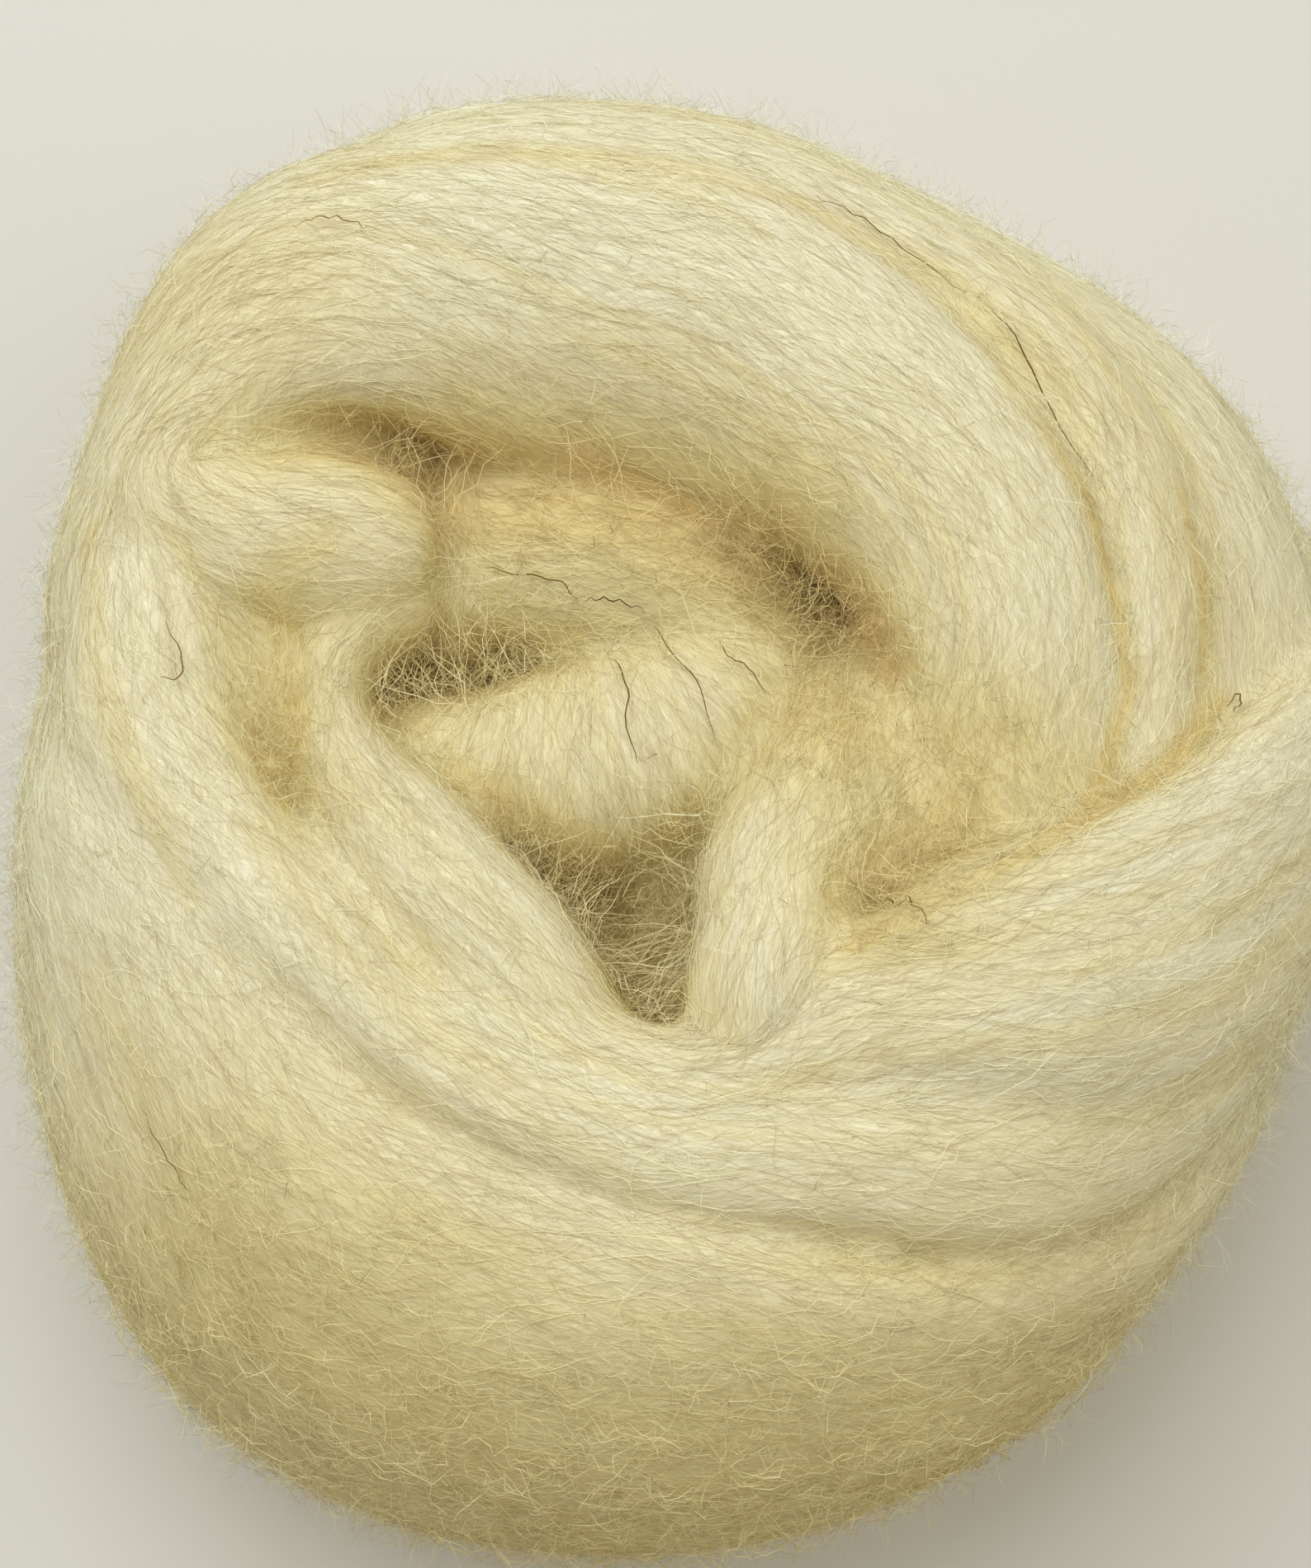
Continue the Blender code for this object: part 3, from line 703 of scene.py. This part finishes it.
def noise(x, y, seed):
    """Smooth noise from -1 to 1 over a plane, with features about one unit across."""
    table = np.random.default_rng(seed).uniform(-1, 1, (NOISE_CELLS, NOISE_CELLS))
    left, low = np.floor(x).astype(int), np.floor(y).astype(int)
    right_share, high_share = x - left, y - low
    right_share = right_share**2 * (3 - 2 * right_share)
    high_share = high_share**2 * (3 - 2 * high_share)

    def at(i, j):
        return table[(left + i) % NOISE_CELLS, (low + j) % NOISE_CELLS]

    lower = at(0, 0) * (1 - right_share) + at(1, 0) * right_share
    upper = at(0, 1) * (1 - right_share) + at(1, 1) * right_share
    return lower * (1 - high_share) + upper * high_share


def relief(rows, run, side, offset, seed):
    """The height of a pattern of locks or streaks at these places on their strands."""
    height = np.zeros(len(run))
    for number, row in enumerate(rows, seed):
        height += row.height * noise(run / row.length + offset, side / row.width, number)
    return height[:, None]


def raise_locks(skin, samples):
    """Moves the skin's points out and in by the relief of the locks, and lays it on the floor."""
    places = read_points(skin.data)
    normals = read_vectors(skin.data.vertex_normals, "vector")
    index = samples.nearest(places)
    run, side = samples.where(places, index)
    strand = samples.numbers[index]
    height = relief(LOCKS, run, side, LOCK_OFFSET * strand, LOCK_SEED)
    tan = relief(STREAKS, run, side, STREAK_OFFSET * strand, STREAK_SEED)
    # More streak colour in the hollows between the locks, less on their ridges: painted shade.
    tan -= PAINTED_HOLLOW_SHADE * height / sum(lock.height for lock in LOCKS)
    a, b, meeting = neighbours(skin.data)
    for _ in range(RELIEF_STEPS):
        height = (height + sum_over_edges(height, a, b, len(places)) / meeting) / 2
    places += normals * height
    places[:, 2] = np.maximum(places[:, 2], 0)
    write_points(skin.data, places)
    write_values(skin.data, "tan", tan)
    return index, tan[:, 0]


def matted(places, mats):
    """How much of the sky these mats take off at these places, as painted shade."""
    most = np.zeros(len(places))
    for mat in mats:
        for first, last in zip(mat.places, mat.places[1:]):
            way = np.subtract(last, first)
            off = places[:, :2] - first
            share = np.clip(off @ way / (way @ way), 0, 1)[:, None]
            off = np.linalg.norm(off - share * way, axis=1)
            shut = mat.share * np.exp(-((off / mat.reach) ** 2)) * (places[:, 2] < mat.below)
            most = np.maximum(most, shut)
    return most * (places[:, 2] > MAT_FLOOR)


def smooth_directions(mesh, directions):
    """Evens out directions over a mesh, whichever way each one points along its line."""
    a, b, _ = neighbours(mesh)
    normals = read_vectors(mesh.vertex_normals, "vector")
    for _ in range(DIRECTION_ROUNDS):
        sign = np.sign(np.sum(directions[a] * directions[b], axis=1))
        total = 2 * directions
        for axis in range(3):
            total[:, axis] += np.bincount(a, sign * directions[b, axis], len(directions))
            total[:, axis] += np.bincount(b, sign * directions[a, axis], len(directions))
        total -= normals * np.sum(total * normals, axis=1)[:, None]
        directions = unit(total)
    return directions


def map_along_strands(mesh, samples, index):
    """A UV map in millimetres, along the strand and round it. Each face keeps to one strand."""
    places = read_points(mesh)
    numbers = samples.numbers[index]
    corners = np.empty(len(mesh.loops), np.int32)
    mesh.loops.foreach_get("vertex_index", corners)
    starts = np.empty(len(mesh.polygons), np.int32)
    mesh.polygons.foreach_get("loop_start", starts)
    totals = np.diff(np.append(starts, len(corners)))
    face_number = np.repeat(numbers[corners[starts]], totals)
    chosen = index[corners]
    for loop in np.flatnonzero(numbers[corners] != face_number).tolist():
        chosen[loop] = samples.nearest_of(int(face_number[loop]), places[corners[loop]])
    run, side = samples.where(places[corners], chosen)
    write_map(mesh, "along", np.stack([run, side + MAP_OFFSET * face_number], axis=1))


def open_sky(mesh, tree):
    """How much of the sky each point of the skin sees, from 0 deep in a crease to 1 in the open."""
    places = read_vectors(mesh.vertices, "co")
    normals = read_vectors(mesh.vertex_normals, "vector")
    step = np.arange(SKY_RAYS) + 0.5
    wide = np.sqrt(step / SKY_RAYS)
    swing = step * math.pi * (3 - math.sqrt(5))
    local = np.stack([wide * np.cos(swing), wide * np.sin(swing), np.sqrt(1 - wide**2)], axis=1)
    level = np.abs(normals[:, 2:]) < 0.9
    helper = np.where(level, [[0, 0, 1]], [[1, 0, 0]])  # any way that the normal doesn't point
    first = unit(np.cross(normals, helper))
    second = np.cross(normals, first)
    reach = SKY_REACH * MM
    sky = np.empty(len(places))
    starts = places + normals * SKY_START * MM
    for i, start in enumerate(starts.tolist()):
        rays = local @ np.stack([first[i], second[i], normals[i]])
        hits = [tree.ray_cast(start, ray, reach)[3] for ray in rays.tolist()]
        seen = [1 if hit is None else (hit / reach) ** 2 for hit in hits]
        sky[i] = sum(seen) / SKY_RAYS
    return sky


class Surface:
    """The faces of the skin: where they look, how the fibres run there, and how open they lie."""

    def __init__(self, mesh, tree, directions, sky, tan, shift):
        self.tree, self.shift = tree, shift
        corners = np.array([polygon.vertices[:] for polygon in mesh.polygons])
        self.corners = read_points(mesh)[corners]
        self.normals = unit(read_vectors(mesh.vertex_normals, "vector")[corners].sum(axis=1))
        ways = directions[corners]
        sign = np.sign(np.sum(ways * ways[:, :1], axis=2, keepdims=True))
        self.ways = unit((ways * sign).sum(axis=1))
        self.sky = sky[corners].mean(axis=1)
        self.tan = tan[corners].mean(axis=1)
        # 0 where the wool is open and smooth, 1 where it is a tangle in the depth of a pit.
        self.tangle = np.clip((TANGLE_SKY - self.sky) / TANGLE_RANGE, 0, 1)
        for x, y, reach in CALM:
            off = np.linalg.norm(self.corners[:, 0, :2] - shift[:2] - (x, y), axis=1)
            self.tangle *= 1 - np.exp(-((off / reach) ** 4))
        first, second = (self.corners[:, k + 2] - self.corners[:, k] for k in (0, 1))
        self.areas = np.linalg.norm(np.cross(first, second), axis=1) / 2

    def scatter(self, count, weights, rng):
        """Random places on the skin, and their faces."""
        chances = self.areas * weights
        faces = rng.choice(len(chances), count, p=chances / chances.sum())
        u, v = rng.uniform(0, 1, (2, count, 1))
        a, b, c, d = (self.corners[faces, k] for k in range(4))
        return (a * (1 - u) + b * u) * (1 - v) + (d * (1 - u) + c * u) * v, faces

    def snap(self, places):
        """The nearest places on the skin, and their faces."""
        hits = [self.tree.find_nearest(place) for place in (places * MM).tolist()]
        return np.array([hit[0][:] for hit in hits]) / MM, np.array([hit[2] for hit in hits])

    def trace(self, kind, rng):
        """Lines that follow the strands over the skin: their places, and the faces under them."""
        up = self.normals[:, 2]
        weights = np.where(np.abs(up) < FLANK, kind.flank, np.where(up < 0, UNDERSIDE_SHARE, 1))
        weights = weights * (kind.open * (1 - self.tangle) + kind.matted * self.tangle)
        place, face = self.scatter(kind.count, weights, rng)
        length = kind.step * rng.uniform(*STEP_SHARES, (kind.count, 1))
        stray = np.radians(kind.stray) * rng.normal(size=kind.count)
        ahead = self.ways[face] * rng.choice((-1, 1), (kind.count, 1))
        places, faces = [place], [face]
        for _ in range(kind.steps):
            way = self.ways[face]
            way = way * np.where(np.sum(way * ahead, axis=1) < 0, -1, 1)[:, None]
            turned = stray * (1 + (MATTED_STRAY - 1) * self.tangle[face])
            stray = stray + np.radians(kind.wander) * rng.normal(size=kind.count)
            side = np.cross(self.normals[face], way)
            ahead = way * np.cos(turned)[:, None] + side * np.sin(turned)[:, None]
            place, face = self.snap(place + ahead * length)
            places.append(place)
            faces.append(face)
        return np.stack(places, axis=1), np.stack(faces, axis=1)


def weave(points, outward, curl, rng):
    """Bends each line from side to side."""
    count, steps = points.shape[:2]
    ahead = unit(np.gradient(points, axis=1))
    side = unit(np.cross(outward, ahead))
    step = np.arange(steps)[None, :]
    for across, share in ((side, 1.0), (outward, WEAVE_OUT)):
        speed = rng.uniform(*WEAVE_SPEEDS, (count, 1))
        phase = rng.uniform(0, 2 * math.pi, (count, 1))
        size = curl * share * rng.uniform(*WEAVE_SHARES, (count, 1))
        points = points + across * (size * np.sin(step * speed + phase))[..., None]
    return points


def ribbons(points, outward, width, twist, rng):
    """The two edges of a narrow flat ribbon along each line."""
    count, steps = points.shape[:2]
    ahead = unit(np.gradient(points, axis=1))
    side = unit(np.cross(outward, ahead))
    share = np.linspace(0, 1, steps)[None, :]
    roll = rng.uniform(-1, 1, (count, 1)) * math.radians(twist)
    roll = roll + share * rng.uniform(-1, 1, (count, 1)) * math.radians(twist)
    across = side * np.cos(roll)[..., None] + np.cross(ahead, side) * np.sin(roll)[..., None]
    thick = width * (1 - TAPER * np.abs(2 * share - 1) ** 2)
    off = across * thick[..., None] / 2
    return np.stack([points - off, points + off], axis=2)


def fibre_piece(name, edges, sky, tan, tint, material):
    """A mesh of ribbons. edges has their two edges' places, and sky, tan and tint their colours;
    sky and tan carry painted shade from the skin.
    """
    count, steps = edges.shape[:2]
    edges[..., 2] = np.maximum(edges[..., 2], 0)
    strip = grid_faces(steps, 2, ring=False, tube=False)
    faces = (np.arange(count)[:, None, None] * steps * 2 + strip).reshape(-1, 4)
    mesh = bpy.data.meshes.new(name)
    mesh.from_pydata((edges.reshape(-1, 3) * MM).tolist(), [], faces.tolist())
    write_values(mesh, "sky", np.repeat(sky, 2, axis=1))
    write_values(mesh, "tan", np.repeat(tan, 2, axis=1))
    write_values(mesh, "tint", np.repeat(tint, steps * 2))
    columns = math.ceil(math.sqrt(count / CELL_SHAPE))
    rows = math.ceil(count / columns)
    fibre, step, edge = np.ogrid[:count, :steps, :2]
    across = (fibre % columns + (step + 0.5) / steps) / columns
    up = (fibre // columns + CELL_MARGIN + (1 - 2 * CELL_MARGIN) * edge) / rows
    pairs = np.stack(np.broadcast_arrays(across, up), axis=-1).reshape(-1, 2)
    write_map(mesh, "OFBake", pairs[faces.ravel()])
    dress(add_object(name, mesh), material)


def make_fibres(surface, material):
    for kind in FIBRES:
        rng = np.random.default_rng(kind.seed)
        points, faces = surface.trace(kind, rng)
        outward, tangle = surface.normals[faces], surface.tangle[faces]
        share = np.linspace(0, 1, kind.steps + 1)[None, :]
        bow = np.sin(share * math.pi) * kind.lift * rng.uniform(*BOW_SHARES, (kind.count, 1))
        tall = rng.exponential(STAND_MEAN, (kind.count, 1)).clip(0, STAND_MOST)
        stand = kind.rise * share**kind.bend * tall
        points = points + outward * (bow * (1 + tangle) + stand + CLEARANCE)[..., None]
        points = weave(points, outward, kind.curl, rng)
        edges = ribbons(points, outward, kind.width, kind.twist, rng)
        tint = rng.uniform(0, 1, kind.count)
        # The fibres take the painted shade of the skin under them.
        fibre_piece(kind.name, edges, surface.sky[faces], surface.tan[faces], tint, material)


def make_web(surface, material):
    """Fibres from one side of a pit or a crease to the other."""
    rng = np.random.default_rng(WEB_SEED)
    tangle = surface.tangle
    weights = tangle * (WEB_EDGE - tangle) * (surface.corners[:, 0, 2] > MAT_FLOOR)
    starts, faces = surface.scatter(WEB_TRIES, weights, rng)
    heading = unit(surface.normals[faces] * WEB_OUT + unit(rng.normal(size=(len(starts), 3))))
    origins = (starts + heading * WEB_START) * MM
    chosen, ends_at, end_faces = [], [], []
    for i, (start, way) in enumerate(zip(origins.tolist(), heading.tolist())):
        place, _, face, reach = surface.tree.ray_cast(start, way, WEB_REACH[1] * MM)
        if reach is None or reach < WEB_REACH[0] * MM:
            continue
        middle = (np.array(start) + place[:]) / 2
        if surface.tree.find_nearest(middle.tolist())[3] > WEB_CLEARANCE * MM:
            chosen.append(i)
            ends_at.append(place[:])
            end_faces.append(face)
    chosen, end_faces = np.array(chosen[:WEB_COUNT]), np.array(end_faces[:WEB_COUNT])
    share = np.linspace(0, 1, WEB_STEPS + 1)[None, :, None]
    first = starts[chosen][:, None]
    last = np.array(ends_at[:WEB_COUNT])[:, None] / MM
    points = first * (1 - share) + last * share
    outward = unit(np.cross(last - first, rng.normal(size=(len(chosen), 1, 3)))) + 0 * points
    points = weave(points, outward, WEB_CURL, rng)
    edges = ribbons(points, outward, WEB_WIDTH, WEB_TWIST, rng)
    # Painted shade on the crossing fibres, from the skin's at their two ends, a little lighter.
    sky = surface.sky[faces[chosen]][:, None] * (1 - share[..., 0])
    sky = sky + surface.sky[end_faces][:, None] * share[..., 0] + WEB_LIGHTER
    tint = rng.uniform(0, 1, len(chosen))
    fibre_piece(WEB_NAME, edges, sky, 0 * sky, tint, material)


def make_hairs(surface, material):
    """The dark hairs, dropped on the skin from above."""
    rng = np.random.default_rng(HAIR_SEED)
    lines, outward = [], []
    for row in HAIRS:
        at = np.linspace(0, len(row) - 1, HAIR_STEPS)
        line = smooth_row(np.array(row, float), at, closed=False) + surface.shift[:2]
        tops = [(x * MM, y * MM, DROP_HEIGHT * MM) for x, y in line.tolist()]
        hits = [surface.tree.ray_cast(top, (0, 0, -1)) for top in tops]
        lines.append([hit[0][:] for hit in hits])
        outward.append([hit[1][:] for hit in hits])
    points, outward = np.array(lines) / MM, np.array(outward)
    points = weave(points + outward * HAIR_LIFT, outward, HAIR_CURL, rng)
    edges = ribbons(points, outward, HAIR_WIDTH, HAIR_TWIST, rng)
    sky = np.ones(points.shape[:2])
    fibre_piece("stray_hairs", edges, sky, 0 * sky, rng.uniform(0, 1, len(points)), material)


class Nodes:
    """Adds and links shader nodes."""

    def __init__(self, name):
        self.material = bpy.data.materials.new(name)
        self.material.use_nodes = True
        self.tree = self.material.node_tree
        self.shader = self.tree.nodes["Principled BSDF"]

    def add(self, kind, inputs=(), **settings):
        node = self.tree.nodes.new("ShaderNode" + kind)
        for name, value in settings.items():
            setattr(node, name, value)
        for socket, value in dict(inputs).items():
            self.set(node.inputs[socket], value)
        return node

    def set(self, socket, value):
        if isinstance(value, bpy.types.NodeSocket):
            self.tree.links.new(value, socket)
        else:
            socket.default_value = value

    def math(self, operation, first, second):
        return self.add("Math", {0: first, 1: second}, operation=operation).outputs[0]

    def vector_math(self, operation, first, second):
        node = self.add("VectorMath", {0: first, 1: second}, operation=operation)
        return node.outputs["Vector"]

    def attribute(self, name):
        return self.add("Attribute", attribute_name=name).outputs["Fac"]

    def noise(self, vector, scale=1.0, roughness=0.5):
        inputs = {"Vector": vector, "Scale": scale, "Detail": 2.0, "Roughness": roughness}
        return self.add("TexNoise", inputs).outputs["Fac"]

    def ramp(self, value, low, high, start=0.0, end=1.0):
        """value, rescaled from low..high to start..end and kept inside them."""
        inputs = {"Value": value, "From Min": low, "From Max": high, "To Min": start, "To Max": end}
        return self.add("MapRange", inputs).outputs["Result"]

    def blend(self, share, first, second, kind="MIX"):
        node = self.add("Mix", data_type="RGBA", blend_type=kind)
        self.set(node.inputs[0], share)
        for socket, colour in ((node.inputs[6], first), (node.inputs[7], second)):
            self.set(socket, (*colour, 1) if isinstance(colour, tuple) else colour)
        return node.outputs[2]

    def finish(self, colour, values):
        """Puts the colour and the constant values on the shader, and gives the material."""
        self.set(self.shader.inputs["Base Color"], colour)
        for name, value in values.items():
            self.shader.inputs[name].default_value = value
        return self.material


# The colours of the wool, as linear red, green and blue. The three after cream are painted shade,
# tan and darker, for skin that sees less of the sky; the streak colour is partly painted shade,
# where it gathers in the hollows between the locks.
CREAM = (0.90, 0.885, 0.68)
SHADED = (0.85, 0.745, 0.37)
PAINTED_DEEP_SHADE = (0.83, 0.665, 0.31)
PAINTED_DARKEST_SHADE = (0.52, 0.37, 0.15)
STREAK = (0.87, 0.785, 0.43)
DARK_STRAND = (0.58, 0.47, 0.24)
HAIR, PALE_HAIR = (0.085, 0.045, 0.006), (0.24, 0.145, 0.03)
# Painted shade: between these two shares of the sky, the colour so far gives way to the next, from
# the darkest painted shade on to cream in the open.
SKY_COLOURS = ((-0.35, 0.02, PAINTED_DEEP_SHADE), (0.2, 0.65, SHADED), (0.55, 1.0, CREAM))
# Ramps are two values of a pattern, and what they turn into.
STREAK_RAMP = (0.1, 0.9, 0.0, 0.5)

WOOL_FINISH = {
    "Roughness": 0.85,
    "Specular IOR Level": 0.15,
    "Sheen Weight": 0.16,
    "Sheen Roughness": 0.5,
    "Sheen Tint": (1.0, 0.95, 0.78, 1),
}
HAIR_FINISH = {"Roughness": 0.7, "Specular IOR Level": 0}

# Fine fibres on the skin, in layers: how they slant off the strand's run, and how long and wide
# they are.
SKIN_FIBRES = ((0.0, 5.0, 0.20), (0.22, 4.0, 0.20), (-0.26, 4.0, 0.20))
# Their waves: how many to a millimetre along a strand and across it, and how far they swing.
SKIN_WAVES = ((0.05, 0.12, 1.5), (0.35, 0.8, 0.5))
SKIN_BUMP = {"Strength": 0.5, "Distance": 0.0003}
# Ramps of how much of the dark colour fibres take, and of how much lighter they are.
SKIN_DARK, SKIN_LIGHT = (0.38, 0.62, 0.62, 0.0), (0.45, 0.62, 1.0, 1.1)
FIBRE_DARK, FIBRE_LIGHT = (0.5, 1.0, 0.0, 0.75), (0.0, 0.5, 1.13, 1.0)


def wool_colour_with_painted_shade(nodes):
    """Cream in the open, and painted shade, tan and darker, where the skin sees less of the sky."""
    sky = nodes.attribute("sky")
    colour = PAINTED_DARKEST_SHADE
    for low, high, opener in SKY_COLOURS:
        colour = nodes.blend(nodes.ramp(sky, low, high), colour, opener)
    return nodes.blend(nodes.ramp(nodes.attribute("tan"), *STREAK_RAMP), colour, STREAK)


def strand_colour(nodes, value, dark, light):
    """The wool's colour, darker and lighter from fibre to fibre."""
    colour = nodes.blend(nodes.ramp(value, *dark), wool_colour_with_painted_shade(nodes), DARK_STRAND)
    value = nodes.ramp(value, *light)
    grey = nodes.add("CombineColor", {0: value, 1: value, 2: value}).outputs[0]
    return nodes.blend(1.0, colour, grey, "MULTIPLY")


def skin_material():
    """Wool whose fibres run along the skin's own map."""
    nodes = Nodes("combed_wool")
    place = along = nodes.add("UVMap", uv_map="along").outputs["UV"]
    for lengthwise, crosswise, swing in SKIN_WAVES:
        wave = nodes.noise(nodes.vector_math("MULTIPLY", along, (lengthwise, crosswise, 0)))
        off = nodes.add("CombineXYZ", {"Y": nodes.ramp(wave, 0.0, 1.0, -swing, swing)})
        place = nodes.vector_math("ADD", place, off.outputs[0])
    fibres = 0.0
    for slant, length, width in SKIN_FIBRES:
        turn = {"Vector": place, "Angle": slant}
        turned = nodes.add("VectorRotate", turn, rotation_type="Z_AXIS").outputs[0]
        scaled = nodes.vector_math("MULTIPLY", turned, (1 / length, 1 / width, 0))
        fibres = nodes.math("ADD", fibres, nodes.noise(scaled, roughness=0.6))
    fibres = nodes.math("MULTIPLY", fibres, 1 / len(SKIN_FIBRES))
    bump = nodes.add("Bump", {**SKIN_BUMP, "Height": fibres})
    nodes.set(nodes.shader.inputs["Normal"], bump.outputs["Normal"])
    return nodes.finish(strand_colour(nodes, fibres, SKIN_DARK, SKIN_LIGHT), WOOL_FINISH)


def fibre_material():
    nodes = Nodes("wool_fibre")
    colour = strand_colour(nodes, nodes.attribute("tint"), FIBRE_DARK, FIBRE_LIGHT)
    return nodes.finish(colour, WOOL_FINISH)


def hair_material():
    nodes = Nodes("dark_hair")
    return nodes.finish(nodes.blend(nodes.attribute("tint"), HAIR, PALE_HAIR), HAIR_FINISH)


def make_skin():
    winding = Winding()
    folds = {name: fold_sections(rows) for name, rows in FOLDS.items()}
    skin = joined_skin(winding, folds)
    places = read_points(skin.data)
    low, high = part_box("roving_nest")
    box_middle = np.array((low + high) / 2) / MM
    own_middle = (places.min(axis=0) + places.max(axis=0)) / 2
    shift = np.array([*(box_middle - own_middle)[:2], 0])
    write_points(skin.data, places + shift)
    samples = Samples(winding, folds, shift)
    index, tan = raise_locks(skin, samples)
    map_along_strands(skin.data, samples, index)
    tree = BVHTree.FromPolygons(
        [v.co for v in skin.data.vertices], [tuple(p.vertices) for p in skin.data.polygons]
    )
    places = read_points(skin.data) - shift
    # The sky that each point sees, less the mats and the creases: the painted shade in the wool's
    # colour follows it, and the fibres tangle where it is low.
    sky = open_sky(skin.data, tree) * (1 - matted(places, MATS_AND_PAINTED_SHADE))
    sky -= CREASE_SHADE_DEPTH * matted(places, CREASES)
    write_values(skin.data, "sky", sky)
    dress(skin, skin_material())
    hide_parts("roving_nest")
    directions = smooth_directions(skin.data, samples.ahead[index])
    return Surface(skin.data, tree, directions, sky, tan, shift)


FLOOR_SIZE = 3.0
FLOOR_COLOUR, FLECK_COLOUR = (0.75, 0.735, 0.68), (0.70, 0.68, 0.63)
FLOOR_GRAIN, FLECK_RAMP = 900.0, (0.3, 0.7, 0.0, 0.06)
FLOOR_FINISH = {"Roughness": 0.7}


def make_floor():
    bpy.ops.mesh.primitive_plane_add(size=FLOOR_SIZE, location=(0, 0, 0))
    floor = bpy.context.object
    floor.name = "floor"
    nodes = Nodes("pale_paper")
    grain = nodes.noise(nodes.add("TexCoord").outputs["Object"], FLOOR_GRAIN)
    colour = nodes.blend(nodes.ramp(grain, *FLECK_RAMP), FLOOR_COLOUR, FLECK_COLOUR)
    floor.data.materials.append(nodes.finish(colour, FLOOR_FINISH))


CAMERA_DISTANCE = 340
CAMERA_TILT = 76  # degrees above the level
AIM = (-0.6, 6, 36)
LENS, SENSOR = 73.4, 36
CLIP = (0.01, 10)  # in metres


def make_camera(shift):
    tilt = math.radians(CAMERA_TILT)
    back = np.array([0, -math.cos(tilt), math.sin(tilt)]) * CAMERA_DISTANCE
    place = back + [0, 0, AIM[2]] + shift
    aim = np.array(AIM) + shift
    data = bpy.data.cameras.new("camera")
    data.lens, data.sensor_width, data.sensor_fit = LENS, SENSOR, "HORIZONTAL"
    data.clip_start, data.clip_end = CLIP
    camera = add_object("camera", data)
    camera.location = Vector(place * MM)
    camera.rotation_euler = Vector((aim - place) * MM).to_track_quat("-Z", "Y").to_euler()
    bpy.context.scene.camera = camera


Lamp = namedtuple("Lamp", "name place size power colour")
LAMPS = (
    Lamp("window", (-0.40, 0.60, 1.15), 1.3, 13.0, (0.975, 1.005, 1.045)),
    Lamp("side", (0.85, -0.1, 1.0), 1.2, 3.8, (1.0, 0.98, 0.92)),
)
WORLD_COLOUR, WORLD_STRENGTH = (1.0, 0.935, 0.79), 0.345


def make_lights():
    for lamp in LAMPS:
        data = bpy.data.lights.new(lamp.name, "AREA")
        data.energy, data.size, data.color = lamp.power, lamp.size, lamp.colour
        light = add_object(lamp.name, data)
        light.location = lamp.place
        light.rotation_euler = (-Vector(lamp.place)).to_track_quat("-Z", "Y").to_euler()
    world = bpy.data.worlds.new("room")
    world.use_nodes = True
    sky = world.node_tree.nodes["Background"]
    sky.inputs["Color"].default_value = (*WORLD_COLOUR, 1)
    sky.inputs["Strength"].default_value = WORLD_STRENGTH
    bpy.context.scene.world = world
    bpy.context.scene.view_settings.view_transform = "Standard"


surface = make_skin()
wool_fibre = fibre_material()
make_fibres(surface, wool_fibre)
make_web(surface, wool_fibre)
make_hairs(surface, hair_material())
make_floor()
make_camera(surface.shift)
make_lights()
